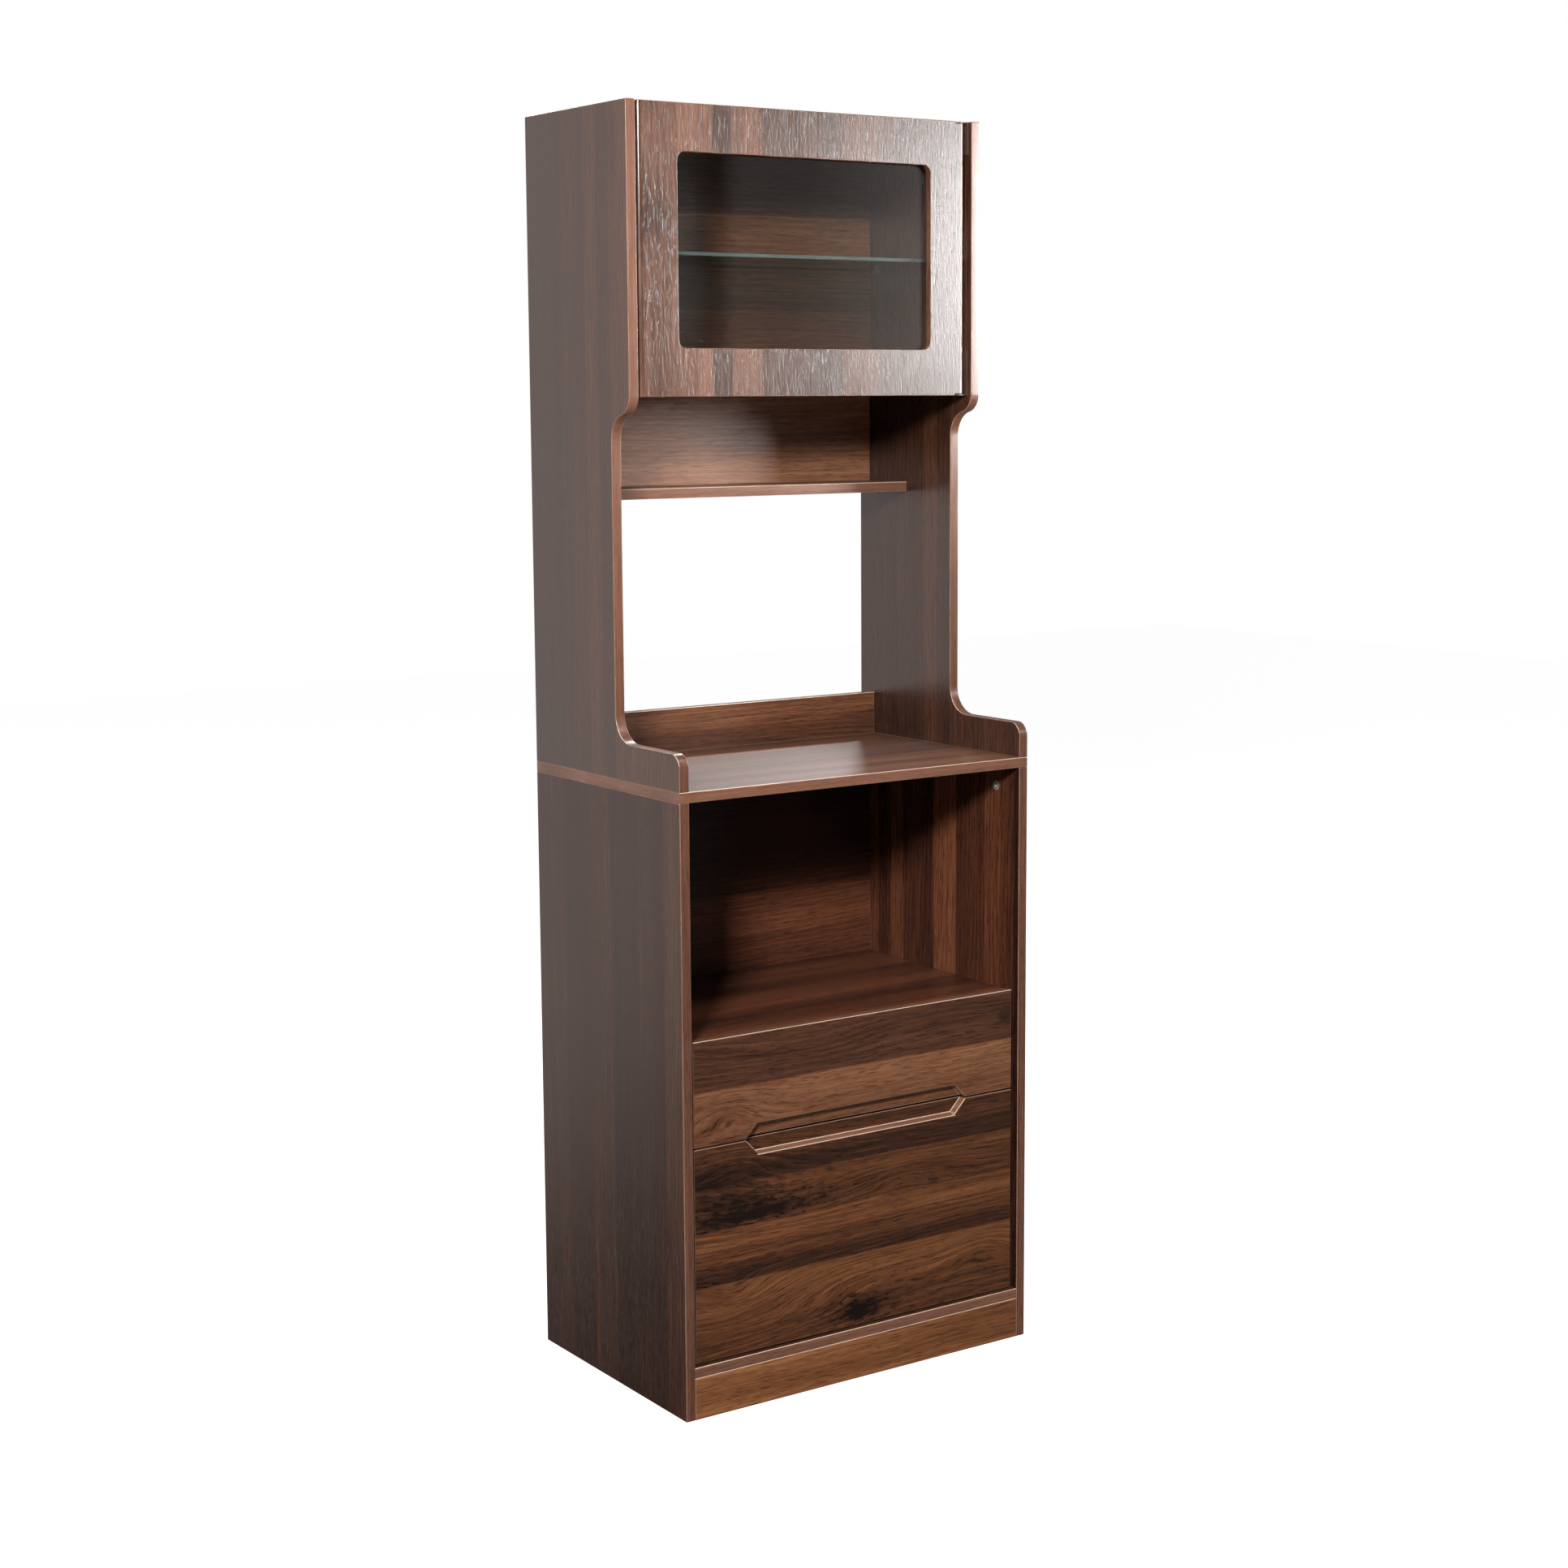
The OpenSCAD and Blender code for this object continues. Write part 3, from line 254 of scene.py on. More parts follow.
def wood(name, along, across, seed=0.0, bands=None, knots=(), hills=(), colours=WALNUT, base=0.48, swing=0.5,
         figure=0.035, lines=0.55, roughness=0.34, relief=0.25, sparkle=0.0, ior=1.5):
    """Wood laminate whose grain runs along one axis, with tone bands, growth lines, streaks and pores."""
    new, g = material(name)
    u, straight, v, w = grain_places(g, along, across, seed)
    v = over_hills(g, u, straight, v, hills)
    v, dark = around_knots(g, u, straight, v, knots)
    places = (u, v, w)
    broad = stretched_noise(g, places, BROAD_WAVES, seed, 2.0, DEEP_SHIFT * seed)
    middle = stretched_noise(g, places, MIDDLE_WAVES, seed, 3.0)
    streak = stretched_noise(g, places, STREAK_WAVES, seed, 3.0)
    pore = stretched_noise(g, places, PORE_WAVES, seed, 1.0)
    ring_bend = stretched_noise(g, places, RING_BEND_WAVES, seed, 2.0, DEEP_SHIFT * seed)
    ring = g.math("SINE", g.math("ADD", g.scaled(v, RING_PHASE), g.scaled(ring_bend, RING_SHIFT)))
    if bands:
        share = BROAD_SHARE * swing
        tone = g.math("ADD", tone_bands(g, straight, bands), g.scaled(broad, share, -share / 2))
    else:
        tone = g.scaled(g.mapped(broad, *BROAD_RANGE), swing, base - swing / 2)
    tone = g.math("ADD", tone, g.scaled(middle, MIDDLE_SHARE, -MIDDLE_SHARE / 2))
    tone = g.math("ADD", tone, g.scaled(ring, figure))
    tone = g.math("ADD", tone, g.scaled(streak, lines, -lines / 2))
    tone = g.math("SUBTRACT", tone, g.mapped(pore, *PORE_RANGE, 0.0, PORE_DEPTH))
    if knots:
        tone = g.math("SUBTRACT", tone, dark)
    rough = g.scaled(streak, ROUGH_SWING, roughness - ROUGH_SWING / 2)
    height = g.math("SUBTRACT", g.scaled(streak, STREAK_RELIEF), g.mapped(pore, *PORE_SINK_RANGE))
    # Glints: light dashes painted into the tone as highlights, and raised a little in the relief
    if sparkle:
        glint = stretched_noise(g, places, GLINT_WAVES, seed, 2.0)
        tone = g.math("ADD", tone, g.mapped(glint, *GLINT_RANGE, -sparkle / 3, sparkle))
        height = g.math("ADD", height, g.scaled(glint, GLINT_RELIEF))
    g.finish(g.principled(Base_Color=g.ramp(tone, colours), Roughness=rough, IOR=ior, bump=height,
                          bump_strength=relief))
    return new


def edge_band(name, along, across, seed, colours=EDGE, base=0.5):
    """The fine-grained band on a board's edges."""
    return wood(name, along, across, seed, colours=colours, base=base, swing=0.22, lines=0.45, roughness=0.3,
                relief=0.2)


# Waves per metre of chips and of the dust between them, and their shares of the chipboard's tone
CHIP_WAVES = 420.0
DUST_WAVES = 1500.0
CHIP_SHARE = 0.7
DUST_SHARE = 0.3
# Waves per metre of a metal's blotches, and of its scratches along each axis
BLOTCH_WAVES = 90.0
SCRATCH_WAVES = (60.0, 900.0, 900.0)
# Share of a metal's colour left where it is dull, range of the blotches, and how far they change the roughness
DULL_SHARE = 0.72
DULL_RANGE = (0.3, 0.65)
BLOTCH_ROUGH = 0.1
# Waves per metre of a plastic's orange peel, share of its colour left there, range and change of roughness
PEEL_WAVES = 700.0
PEEL_SHARE = 0.9
PEEL_RANGE = (0.2, 0.8)
PEEL_ROUGH = 0.08
PLASTIC_IOR = 1.49
# Waves per metre of a glass's unevenness and of its smears, the smears' range and greatest roughness
GLASS_WAVES = 6.0
SMEAR_WAVES = 25.0
SMEAR_RANGE = (0.5, 0.9)
SMEAR_ROUGH = 0.03
GLASS_IOR = 1.5


def chipboard():
    """The pressed chips inside a board, seen in its bores."""
    new, g = material("chipboard core")
    place = g.add("ShaderNodeTexCoord").outputs["Object"]
    chips = g.add("ShaderNodeTexVoronoi", {"Vector": place, "Scale": CHIP_WAVES}).outputs["Color"]
    tone = g.math("ADD", g.scaled(chips, CHIP_SHARE), g.scaled(g.noise(place, DUST_WAVES, 3.0), DUST_SHARE))
    g.finish(g.principled(Base_Color=g.ramp(tone, CHIPBOARD), Roughness=0.85, bump=tone, bump_strength=0.5))
    return new


def metal(name, colour, roughness, scratch, metallic):
    """Plated or painted metal with fine scratches and a slightly uneven tone."""
    new, g = material(name)
    place = g.add("ShaderNodeTexCoord").outputs["Object"]
    blotch = g.noise(place, BLOTCH_WAVES, 3.0)
    line = g.noise(g.add("ShaderNodeVectorMath", {0: place, 1: SCRATCH_WAVES}, operation="MULTIPLY")
                   .outputs[0], detail=2.0)
    dull = tuple(DULL_SHARE * channel for channel in colour)
    tint = g.ramp(blotch, list(zip(DULL_RANGE, (dull, colour))))
    rough = g.math("ADD", g.scaled(line, scratch, roughness - scratch / 2),
                   g.scaled(blotch, BLOTCH_ROUGH, -BLOTCH_ROUGH / 2))
    g.finish(g.principled(Base_Color=tint, Metallic=metallic, Roughness=rough, bump=line, bump_strength=0.08))
    return new


def plastic(name, colour, roughness, transmission=0.0):
    """Moulded plastic with a faint orange-peel surface."""
    new, g = material(name)
    peel = g.noise(g.add("ShaderNodeTexCoord").outputs["Object"], PEEL_WAVES, 2.0)
    shade = tuple(PEEL_SHARE * channel for channel in colour)
    tint = g.ramp(peel, list(zip(PEEL_RANGE, (shade, colour))))
    rough = g.scaled(peel, PEEL_ROUGH, roughness - PEEL_ROUGH / 2)
    g.finish(g.principled(Base_Color=tint, Roughness=rough, bump=peel, bump_strength=0.1,
                          Transmission_Weight=transmission, IOR=PLASTIC_IOR))
    return new


def glass(name, colour):
    """Clear glass that lets lamp light through to what lies behind it."""
    new, g = material(name)
    place = g.add("ShaderNodeTexCoord").outputs["Object"]
    wave = g.noise(place, GLASS_WAVES, 1.0)
    smear = g.noise(place, SMEAR_WAVES, 4.0, 0.7)
    clear = g.principled(Base_Color=colour, Roughness=g.mapped(smear, *SMEAR_RANGE, 0.0, SMEAR_ROUGH),
                         bump=wave, bump_strength=0.02, Transmission_Weight=1.0, IOR=GLASS_IOR)
    open_way = g.add("ShaderNodeBsdfTransparent", {"Color": colour})
    path = g.add("ShaderNodeLightPath")
    through = g.math("MAXIMUM", path.outputs["Is Shadow Ray"], path.outputs["Is Diffuse Ray"])
    g.finish(g.add("ShaderNodeMixShader", {0: through, 1: clear.outputs[0], 2: open_way.outputs[0]}))
    return new


# Distance over which a board's edges are rounded, and the steps of the rounding
ARRIS = 0.9 * MM
ARRIS_STEPS = 2
# Edges that turn by more than this are sharp, and in a loop smaller than the limit they belong to a bore and
# aren't rounded
SHARP = math.radians(28)
BORE_LIMIT = 17 * MM
# Points nearer than this are one, edges flatter than this vanish, and edges sharper than this shade sharp
MERGE = 0.001 * MM
FLAT = math.radians(0.2)
SHADE_SHARP = math.radians(40)
# Rounding of the thin boards: drawer boxes and the glass shelf
THIN_ARRIS = 0.5 * MM

# Material slots of a board: its two faces, its outer edges, the core in its bores, its arrises, lighter than
# the band with wear and a painted highlight, the walls of its openings, and the arrises that face up and to
# the front, lighter still with wear and a painted highlight from the light above
LAMINATE, BAND, BORE, RUBBED_AND_HIGHLIT, WALL, WORN_AND_HIGHLIT_UP = range(6)
# A face within this distance of a board's outside belongs to its edges
OUTER = 1.2 * MM
# Part of a face's normal along the board's thin axis, over which it is laminate or an arris
LAMINATE_PART = 0.97
ARRIS_PART = 0.25
# Part of an arris's normal, up and to the front, over which it is lighter, with wear and a painted highlight
WORN_AND_HIGHLIT_PART = 0.2
# Inner faces smaller than this lie in a bore
BORE_FACE = 30 * MM * MM


def loops_of(edges):
    """The edges in connected groups, in the order of their first edges."""
    left, groups = set(edges), []
    for first in edges:
        if first not in left:
            continue
        left.remove(first)
        group, todo = [], [first]
        while todo:
            edge = todo.pop()
            group.append(edge)
            near = [e for vert in edge.verts for e in vert.link_edges if e in left]
            left.difference_update(near)
            todo += near
        groups.append(group)
    return groups


def span(group):
    """The greatest extent of a group of edges along an axis."""
    points = [vert.co for edge in group for vert in edge.verts]
    return max(max(p[i] for p in points) - min(p[i] for p in points) for i in range(3))


def thin_axis(node):
    """The axis through a board's thickness."""
    low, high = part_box(node)
    sizes = [high[i] - low[i] for i in range(3)]
    return sizes.index(min(sizes))


def kind_of(poly, low, high, axis, dull_top):
    """The material slot of a board's face."""
    centre = poly.calc_center_median()
    level = abs(poly.normal[axis])
    outside = min(min(centre[i] - low[i], high[i] - centre[i]) for i in range(3)) < OUTER
    deep = min(centre[axis] - low[axis], high[axis] - centre[axis]) > OUTER
    if level > LAMINATE_PART:
        return LAMINATE
    if level > ARRIS_PART:
        # An arris that faces up and to the front takes the lightest arris tone: wear with a painted highlight
        upper = poly.normal.z > WORN_AND_HIGHLIT_PART and poly.normal.y < -WORN_AND_HIGHLIT_PART
        return WORN_AND_HIGHLIT_UP if upper and not (dull_top and centre.z > high[2] - OUTER) else RUBBED_AND_HIGHLIT
    if outside or not deep:
        return BAND
    return BORE if poly.calc_area() < BORE_FACE else WALL


def board(node, face, edge, inner=None, arris=None, bore=None, round_by=ARRIS, dull_top=False):
    """A board with rounded edges, in place of its CAD node: laminate on its two faces, band on its edges."""
    mesh = NODES[node].data.copy()
    mesh.name = node + " board"
    mesh.materials.clear()
    low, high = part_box(node)
    axis = thin_axis(node)
    bm = bmesh.new()
    bm.from_mesh(mesh)
    bmesh.ops.remove_doubles(bm, verts=bm.verts, dist=MERGE)
    bmesh.ops.dissolve_limit(bm, angle_limit=FLAT, verts=bm.verts, edges=bm.edges)
    sharp = [e for e in bm.edges if len(e.link_faces) == 2 and e.calc_face_angle(0.0) > SHARP]
    for group in loops_of(sharp):
        if span(group) > BORE_LIMIT:
            bmesh.ops.bevel(bm, geom=group, offset=round_by, offset_type="OFFSET", segments=ARRIS_STEPS,
                            profile=0.5, affect="EDGES", clamp_overlap=True)
    bm.normal_update()
    for poly in bm.faces:
        poly.material_index = kind_of(poly, low, high, axis, dull_top)
        poly.smooth = True
    bm.to_mesh(mesh)
    bm.free()
    mesh.set_sharp_from_angle(angle=SHADE_SHARP)
    for each in (face, edge, bore or CORE, arris or RUBBED_AND_HIGHLIT_ARRIS, inner or edge, arris or WORN_AND_HIGHLIT_ARRIS):
        mesh.materials.append(each)
    piece = bpy.data.objects.new(node + "_board", mesh)
    SCENE.collection.objects.link(piece)
    normals = piece.modifiers.new("even shading", "WEIGHTED_NORMAL")
    normals.keep_sharp = True
    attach(piece, BODY_OF[node])
    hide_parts(node)


def paint(node, look):
    """Gives a CAD node one material all over."""
    slots = NODES[node].data.materials
    slots.clear()
    slots.append(look)


# Tone bands, as (place across the grain in mm, tone). Places run from front to back on the side boards, from
# left to right on the door, and upward on the rest.
# The left side's bands follow its laminate; their low level is painted shade, keeping it darker than the
# fronts
SIDE_BANDS = [(-198, 0.38), (-154, 0.36), (-151, 0.21), (-122, 0.19), (-119, 0.25), (-88, 0.24),
              (-86, 0.18), (-14, 0.18), (-11, 0.29), (46, 0.28), (49, 0.21), (116, 0.19), (119, 0.28),
              (198, 0.26)]
# The right side's first 14 mm behind its front edge are dark: painted shade in the gap beside the drawer
# fronts
RIGHT_SIDE_BANDS = [(-198, 0.14), (-188, 0.16), (-184, 0.4), (-157, 0.4), (-154, 0.54), (-119, 0.54),
                    (-116, 0.38), (-49, 0.4), (-46, 0.62), (7, 0.62), (10, 0.32), (85, 0.3), (88, 0.52),
                    (117, 0.52), (120, 0.32), (150, 0.32), (153, 0.5), (198, 0.44)]
# The hutch sides' bands are low as well: painted shade under the key, beneath their real sheen
HUTCH_BANDS = [(-82, 0.36), (-33, 0.34), (-30, 0.23), (0, 0.25), (3, 0.36), (34, 0.34), (37, 0.25),
               (100, 0.25), (103, 0.19), (198, 0.19)]
# The bay's back panel: a light strip at 585-645 mm and dark tones above it, under the worktop, are painted
# light and shade laid over its planks' own tones
BAY_BACK_BANDS = [(15, 0.4), (530, 0.46), (575, 0.5), (585, 0.66), (645, 0.62), (650, 0.36), (700, 0.3),
                  (705, 0.2), (760, 0.16), (880, 0.12)]
# The hutch's back panel is light from 1250 to 1424 mm, in the open niche below the door, and steps down where
# the cabinet's floor meets it: painted light and shade over its own bands
HUTCH_BACK_BANDS = [(1250, 0.78), (1300, 0.86), (1424, 0.76), (1440, 0.4), (1530, 0.42), (1535, 0.34),
                    (1610, 0.36), (1618, 0.7), (1672, 0.72), (1678, 0.42), (1800, 0.34)]
DOOR_BANDS = [(-279, 0.4), (-217, 0.42), (-214, 0.5), (-160, 0.52), (-157, 0.24), (-130, 0.26),
              (-127, 0.48), (-80, 0.5), (-77, 0.27), (-40, 0.29), (0, 0.24), (60, 0.24), (64, 0.36),
              (130, 0.26), (205, 0.2), (279, 0.18)]
UPPER_FRONT_BANDS = [(384, 0.6), (400, 0.66), (425, 0.76), (459, 0.74), (462, 0.42), (500, 0.4),
                     (526, 0.42), (533, 0.5)]
LOWER_FRONT_BANDS = [(77, 0.5), (100, 0.49), (116, 0.47), (119, 0.53), (140, 0.59), (165, 0.64), (182, 0.6),
                     (184, 0.29), (198, 0.32), (212, 0.48), (225, 0.54), (238, 0.68), (250, 0.58),
                     (260, 0.54), (262, 0.42), (300, 0.42), (314, 0.5), (322, 0.42), (325, 0.25),
                     (342, 0.26), (352, 0.36), (366, 0.44), (382, 0.42)]
# Knots and dark clouds: place along and across the grain, length, width, depth of tone, and lower limit.
# All but the depth are in mm.
LOWER_FRONT_KNOTS = [(0, 96, 19, 12, 0.6, 60), (5, 98, 50, 18, 0.26, 60), (-165, 276, 62, 11, 0.5, 261),
                     (-230, 274, 50, 16, 0.24, 261), (-205, 300, 50, 16, 0.14, 261),
                     (-90, 340, 150, 9, 0.08, 325), (-240, 330, 110, 40, 0.1, 261),
                     (-300, 230, 130, 190, 0.06, 60)]
UPPER_FRONT_KNOTS = [(266, 494, 14, 12, 0.22, 300), (-222, 424, 34, 16, 0.12, 300),
                     (-300, 450, 130, 90, 0.09, 300)]
DOOR_KNOTS = [(1652, -252, 40, 22, 0.2, -400)]
# Arches in the growth lines: place, length and width as above, and lift in mm
LOWER_FRONT_HILLS = [(232, 158, 60, 22, 26), (30, 150, 90, 20, 22), (-215, 158, 60, 20, -20),
                     (90, 288, 80, 14, 16), (-205, 350, 40, 18, 14), (-120, 108, 90, 16, -12)]
UPPER_FRONT_HILLS = [(-222, 424, 46, 18, 22), (-120, 500, 120, 20, -10), (150, 505, 120, 20, 12)]

CORE = chipboard()
BAND_UP = edge_band("edge band upright", Z_AXIS, X_AXIS, 3.0, base=0.4)
BAND_LEVEL = edge_band("edge band level", X_AXIS, Z_AXIS, 5.0)
# The finger pull's wall is lighter than the band: partly the band's own colour, partly a painted sheen from
# above
PULL_WALL = edge_band("finger pull wall", X_AXIS, Z_AXIS, 7.0, base=0.62)
# Arrises lighter than the band: wear and a painted highlight, lightest where they face up and to the front
RUBBED_AND_HIGHLIT_ARRIS = edge_band("rubbed arris with painted highlight", X_AXIS, Z_AXIS, 9.0, WORN_AND_HIGHLIT, base=0.1)
WORN_AND_HIGHLIT_ARRIS = edge_band("worn arris with painted highlight", X_AXIS, Z_AXIS, 10.0, WORN_AND_HIGHLIT, base=0.9)


def dress_boards():
    """Every board of the case, the door and the drawers."""
    sides = {"left": (0.0, SIDE_BANDS, WALNUT), "right": (7.3, RIGHT_SIDE_BANDS, RED_WALNUT)}
    for side, (seed, bands, colours) in sides.items():
        face = wood(f"walnut {side} side", Z_AXIS, Y_AXIS, seed, bands, colours=colours, roughness=0.24,
                    ior=1.46)
        board(f"{side}_side", face, BAND_UP)
        face = wood(f"walnut hutch {side} side", Z_AXIS, Y_AXIS, seed + 2.0, HUTCH_BANDS, roughness=0.28,
                    ior=1.62)
        board(f"hutch_{side}_side", face, BAND_UP, bore=BAND_UP)
    # Boards with level grain: the axis across it, seed, base tone and swing of tone
    level = {"kick_board": (Z_AXIS, 1.0, 0.8, 0.24), "lower_back_panel": (Z_AXIS, 4.0, 0.54, 0.44),
             "hutch_back_panel": (Z_AXIS, 6.0, 0.54, 0.4), "backsplash_rail": (Z_AXIS, 8.0, 0.52, 0.4),
             "bottom_board": (Y_AXIS, 9.0, 0.5, 0.4), "countertop": (Y_AXIS, 11.0, 0.52, 0.3),
             "bay_shelf": (Y_AXIS, 13.0, 0.44, 0.3), "hutch_top": (Y_AXIS, 15.0, 0.48, 0.4),
             "cabinet_floor": (Y_AXIS, 17.0, 0.46, 0.4), "shallow_shelf": (Y_AXIS, 19.0, 0.5, 0.4)}
    colours = {"kick_board": ORANGE_WALNUT, "lower_back_panel": RED_WALNUT, "bay_shelf": RED_WALNUT}
    bands = {"lower_back_panel": BAY_BACK_BANDS, "hutch_back_panel": HUTCH_BACK_BANDS}
    for node, (across, seed, base, swing) in level.items():
        face = wood("walnut " + node.replace("_", " "), X_AXIS, across, seed, bands.get(node), base=base,
                    swing=swing, colours=colours.get(node, WALNUT),
                    roughness=0.48 if node == "countertop" else 0.34)
        board(node, face, BAND_LEVEL)
    upper = wood("walnut upper front", X_AXIS, Z_AXIS, 21.0, UPPER_FRONT_BANDS, UPPER_FRONT_KNOTS,
                 UPPER_FRONT_HILLS, figure=0.035, lines=0.4, relief=0.3)
    board("upper_drawer_front", upper, BAND_LEVEL, PULL_WALL)
    lower = wood("walnut lower front", X_AXIS, Z_AXIS, 23.0, LOWER_FRONT_BANDS, LOWER_FRONT_KNOTS,
                 LOWER_FRONT_HILLS, ORANGE_WALNUT, figure=0.04, relief=0.3)
    board("lower_drawer_front", lower, BAND_LEVEL, PULL_WALL, dull_top=True)
    door = wood("walnut door", Z_AXIS, X_AXIS, 25.0, DOOR_BANDS, DOOR_KNOTS, colours=DOOR_WALNUT,
                roughness=0.3, lines=0.42, relief=0.45, sparkle=0.1)
    door_edge = wood("walnut door edge", Z_AXIS, X_AXIS, 27.0, colours=DOOR_WALNUT, base=0.5, swing=0.2,
                     roughness=0.17, relief=0.12)
    board("door_frame", door, door_edge, arris=door_edge, bore=door_edge)
    box_long = wood("drawer box foil long", Y_AXIS, Z_AXIS, 31.0, colours=BOX_FOIL, swing=0.3, roughness=0.5)
    box_wide = wood("drawer box foil wide", X_AXIS, Z_AXIS, 33.0, colours=BOX_FOIL, swing=0.3, roughness=0.5)
    box_floor = wood("drawer bottom foil", X_AXIS, Y_AXIS, 35.0, colours=BOX_FOIL, swing=0.3, roughness=0.5)
    for drawer in ("upper_drawer", "lower_drawer"):
        for side in ("left_side", "right_side"):
            board(f"{drawer}_{side}", box_long, box_long, arris=box_long, round_by=THIN_ARRIS)
        board(f"{drawer}_back", box_wide, box_wide, arris=box_wide, round_by=THIN_ARRIS)
        paint(f"{drawer}_bottom", box_floor)


def dress_fittings():
    """Glass, metal and plastic."""
    clear = glass("window glass", (0.86, 0.88, 0.87))
    green = glass("shelf glass", (0.86, 0.93, 0.9))
    zinc = metal("zinc plate", (0.66, 0.64, 0.61), 0.4, 0.2, metallic=0.75)
    bronze = metal("dark bronze paint", (0.11, 0.07, 0.05), 0.45, 0.1, metallic=0.4)
    clear_plastic = plastic("clear plastic", (0.86, 0.88, 0.88), 0.12, 0.97)
    beech = wood("beech", X_AXIS, Z_AXIS, 41.0, colours=BEECH, swing=0.2, roughness=0.7)
    looks = {"clear_glass": clear, "clear_plastic": clear_plastic, "dark_metal": bronze, "zinc_steel": zinc,
             "beech_dowel": beech}
    for node, slot in SLOT_OF.items():
        if slot in looks:
            paint(node, looks[slot])
    ground = plastic("ground glass edge", (0.03, 0.045, 0.04), 0.75)
    board("glass_shelf", green, ground, arris=ground, round_by=THIN_ARRIS)


# The camera stands before the hutch and to its left, turned to the right and slightly down
CAMERA_PLACE = Vector((-2.117, -3.129, 1.4))
CAMERA_TURN = math.radians(34.12)
CAMERA_DIP = math.radians(7.53)
CAMERA_ROLL = math.radians(-0.36)
FOCAL_PIXELS = 3210
PHOTO_PIXELS = 1932
SENSOR = 36.0
SHIFT_Y = -0.025


def make_camera():
    """The photograph's view, from the camera's place and its three angles."""
    reach = math.cos(CAMERA_DIP)
    ahead = Vector((math.sin(CAMERA_TURN) * reach, math.cos(CAMERA_TURN) * reach, -math.sin(CAMERA_DIP)))
    level = Vector((math.cos(CAMERA_TURN), -math.sin(CAMERA_TURN), 0.0))
    up = level.cross(ahead)
    right = math.cos(CAMERA_ROLL) * level + math.sin(CAMERA_ROLL) * up
    up = right.cross(ahead)
    data = bpy.data.cameras.new("camera")
    data.sensor_width = SENSOR
    data.lens = SENSOR * FOCAL_PIXELS / PHOTO_PIXELS
    data.shift_y = SHIFT_Y
    camera = bpy.data.objects.new("camera", data)
    turn = Matrix((right, up, -ahead)).transposed().to_4x4()
    camera.matrix_world = Matrix.Translation(CAMERA_PLACE) @ turn
    SCENE.collection.objects.link(camera)
    SCENE.camera = camera


def lamp(name, place, target, size, watts, spread=180):
    """A rectangular soft box at a place, turned to a target, whose beam spreads by an angle in degrees."""
    data = bpy.data.lights.new(name, "AREA")
    data.shape = "RECTANGLE"
    data.size, data.size_y = size
    data.energy = watts
    data.spread = math.radians(spread)
    hang(data, place, target)


def round_lamp(name, place, target, radius, watts, cone):
    """A round lamp whose beam is an even cone of an angle in degrees."""
    data = bpy.data.lights.new(name, "SPOT")
    data.shadow_soft_size = radius
    data.energy = watts
    data.spot_size = math.radians(cone)
    data.spot_blend = 0.2
    hang(data, place, target)


def hang(data, place, target):
    """Puts a lamp at a place and turns it to a target."""
    light = bpy.data.objects.new(data.name, data)
    light.location = place
    light.rotation_euler = (Vector(target) - Vector(place)).to_track_quat("-Z", "Y").to_euler()
    SCENE.collection.objects.link(light)


# The world's light depends on the parts of a ray's direction: X to the right, Y to the back and Z up.
# The world's level for matt surfaces. Then what polished ones see of the studio: its levels behind and in
# front of the hutch, the level that is added everywhere, and its colour
WORLD_LEVEL = 0.05
STUDIO_BACK = 1.0
STUDIO_FRONT = 0.03
STUDIO_LOW = 0.01
STUDIO_COLOUR = (1.0, 0.88, 0.84)
# Y from the front's level to the back's, and X over which both are dimmed to a share
STUDIO_TURN = (-0.1, 0.35)
DIM_TURN = (0.0, 0.25)
DIM_SHARE = 0.3
# The studio's lower edge: its height, how fast it sinks to the right, and how soft it is
STUDIO_LINE = -0.53
STUDIO_TILT = 0.536
STUDIO_SOFT = 0.02
# The studio to the right of the camera, which the door's glass shows as a haze
HAZE_START = 0.543
HAZE_LEVEL = 0.3
HAZE_FULL = 0.9
HAZE_SOFT = 0.005
# X over which the haze grows to its full level, Y over which it ends to the back, and Z over which it starts
HAZE_GROWTH = (0.56, 0.62)
HAZE_END = (-0.5, -0.4)
HAZE_LOW = (-0.16, -0.06)

# Grey of the floor, how bright the camera sees it glow, and half its side
FLOOR_GREY = 0.42
FLOOR_GLOW = 0.96
FLOOR_HALF = 9.0


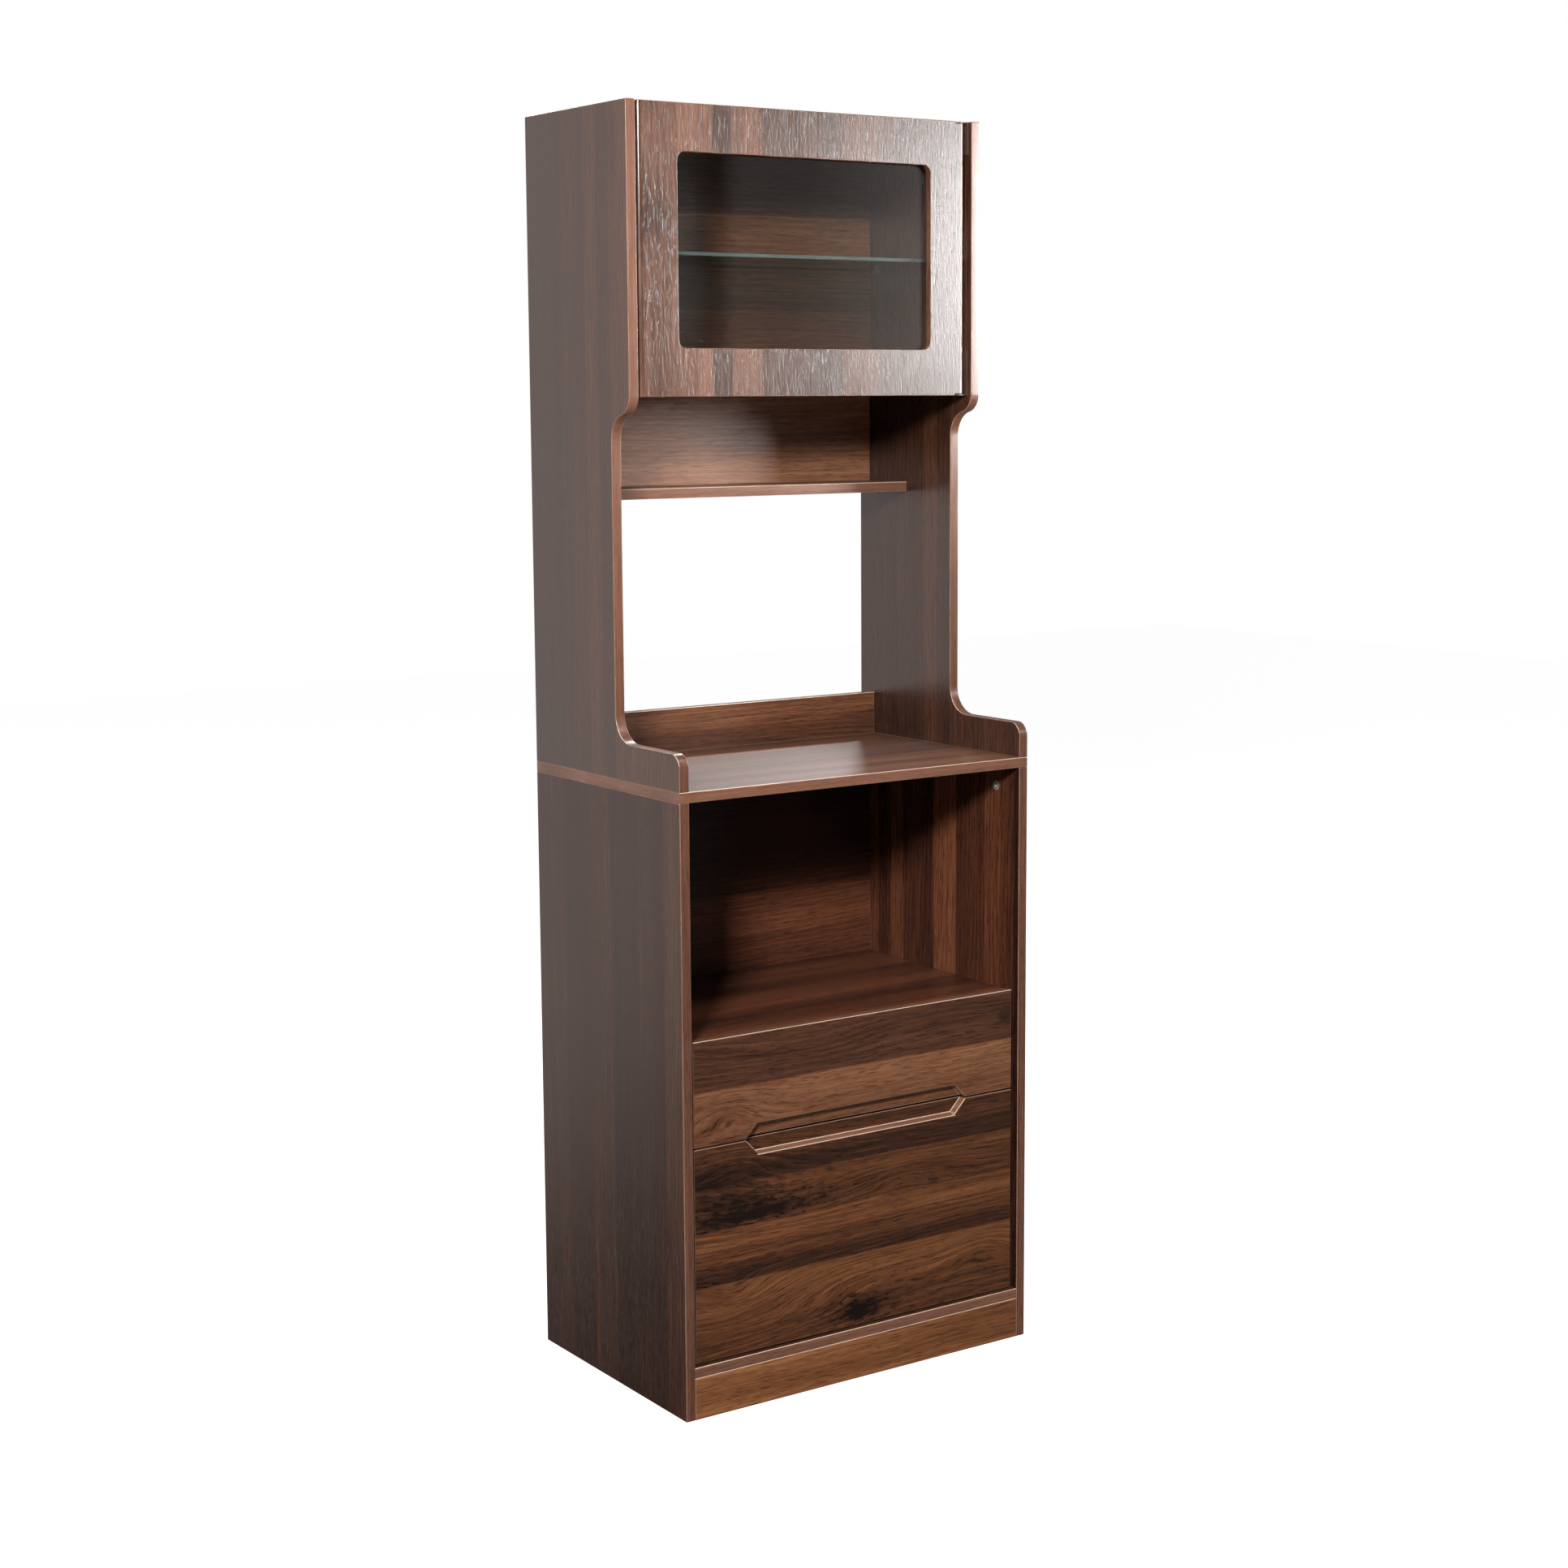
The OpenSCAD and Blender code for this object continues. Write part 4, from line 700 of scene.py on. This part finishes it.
def make_world():
    """White for the camera, a low even light for matt surfaces, and a studio for polished ones."""
    world = bpy.data.worlds.new("studio")
    world.use_nodes = True
    # The rays themselves find the world, so that each kind of ray sees its own level
    world.cycles.sampling_method = "NONE"
    SCENE.world = world
    g = Graph(world.node_tree)
    ray = g.add("ShaderNodeSeparateXYZ", {0: g.add("ShaderNodeTexCoord").outputs["Generated"]})
    x, y, z = (ray.outputs[axis] for axis in (X_AXIS, Y_AXIS, Z_AXIS))
    behind = g.mapped(y, *STUDIO_TURN, STUDIO_FRONT, STUDIO_BACK)
    # Little of it lies to the right of the hutch, where the worktop would mirror it
    behind = g.math("MULTIPLY", behind, g.mapped(x, *DIM_TURN, 1.0, DIM_SHARE))
    tilted = g.math("MULTIPLY_ADD", x, STUDIO_TILT, z)
    high = g.mapped(tilted, STUDIO_LINE - STUDIO_SOFT, STUDIO_LINE + STUDIO_SOFT)
    seen = g.scaled(g.math("MULTIPLY", behind, high), 1.0, STUDIO_LOW)
    haze = g.math("MULTIPLY", g.mapped(x, HAZE_START - HAZE_SOFT, HAZE_START + HAZE_SOFT, 0.0, HAZE_LEVEL),
                  g.mapped(x, *HAZE_GROWTH, 1.0, HAZE_FULL / HAZE_LEVEL))
    haze = g.math("MULTIPLY", haze, g.math("MULTIPLY", g.mapped(y, *HAZE_END, 1.0, 0.0),
                                           g.mapped(z, *HAZE_LOW)))
    seen = g.math("ADD", seen, haze)
    path = g.add("ShaderNodeLightPath")
    # A ray that left polished wood keeps its studio also where it then goes through the door's glass
    bounced = g.math("MINIMUM", path.outputs["Glossy Depth"], 1.0)
    through = path.outputs["Is Transmission Ray"]
    straight = g.math("MULTIPLY", through, g.math("SUBTRACT", 1.0, bounced))
    direct = g.math("MAXIMUM", path.outputs["Is Camera Ray"], straight)
    polished = g.math("MAXIMUM", path.outputs["Is Glossy Ray"], g.math("MULTIPLY", through, bounced))
    level = g.math("MULTIPLY_ADD", polished, g.math("SUBTRACT", seen, WORLD_LEVEL), WORLD_LEVEL)
    level = g.math("MULTIPLY_ADD", direct, g.math("SUBTRACT", 1.0, level), level)
    # Inputs 6 and 7 of the mix node are its two colours, and output 2 is the mixed one
    tint = g.add("ShaderNodeMix", {"Factor": polished, 6: (1.0, 1.0, 1.0), 7: STUDIO_COLOUR},
                 data_type="RGBA")
    back = g.add("ShaderNodeBackground", {"Color": tint.outputs[2], "Strength": level})
    g.put(g.add("ShaderNodeOutputWorld").inputs["Surface"], back.outputs[0])


def make_floor():
    """A pale floor that reads as white where it is lit, keeps the shadow and isn't seen in polished wood."""
    mesh = bpy.data.meshes.new("floor")
    corners = [(x * FLOOR_HALF, y * FLOOR_HALF, 0) for x, y in ((-1, -1), (1, -1), (1, 1), (-1, 1))]
    mesh.from_pydata(corners, [], [(0, 1, 2, 3)])
    floor = bpy.data.objects.new("floor", mesh)
    SCENE.collection.objects.link(floor)
    look, g = material("pale floor")
    path = g.add("ShaderNodeLightPath")
    chalk = g.add("ShaderNodeBsdfDiffuse", {"Color": (FLOOR_GREY,) * 3})
    glow = g.add("ShaderNodeEmission", {"Strength": g.scaled(path.outputs["Is Camera Ray"], FLOOR_GLOW)})
    both = g.add("ShaderNodeAddShader", {0: chalk.outputs[0], 1: glow.outputs[0]})
    open_way = g.add("ShaderNodeBsdfTransparent")
    g.finish(g.add("ShaderNodeMixShader", {0: path.outputs["Is Glossy Ray"], 1: both.outputs[0],
                                           2: open_way.outputs[0]}))
    mesh.materials.append(look)


def make_lights():
    """The key at the left, soft boxes at the right and above, two fills, and a lamp behind."""
    lamp("key", place=(-2.45, -2.55, 2.35), target=(0.0, -0.1, 0.8), size=(0.5, 0.5), watts=185)
    lamp("right soft box", place=(1.42, -1.02, 1.68), target=(0.1, -0.05, 1.6), size=(0.5, 0.6), watts=4.7,
         spread=45)
    lamp("top soft box", place=(0.4, -1.5, 3.0), target=(0.0, -0.1, 0.7), size=(1.2, 0.6), watts=32)
    lamp("right fill", place=(3.4, 0.6, 1.6), target=(0.3, 0.1, 0.95), size=(1.2, 1.2), watts=75)
    lamp("back fill", place=(0.4, 3.6, 3.2), target=(0.0, 0.2, 0.9), size=(0.8, 0.8), watts=60)
    round_lamp("back lamp", place=(1.46, 1.81, 2.6), target=(-0.16, -0.02, 0.88), radius=0.12, watts=110,
               cone=12.5)


make_camera()
dress_boards()
dress_fittings()
make_world()
make_floor()
make_lights()
SCENE.view_settings.view_transform = "Standard"
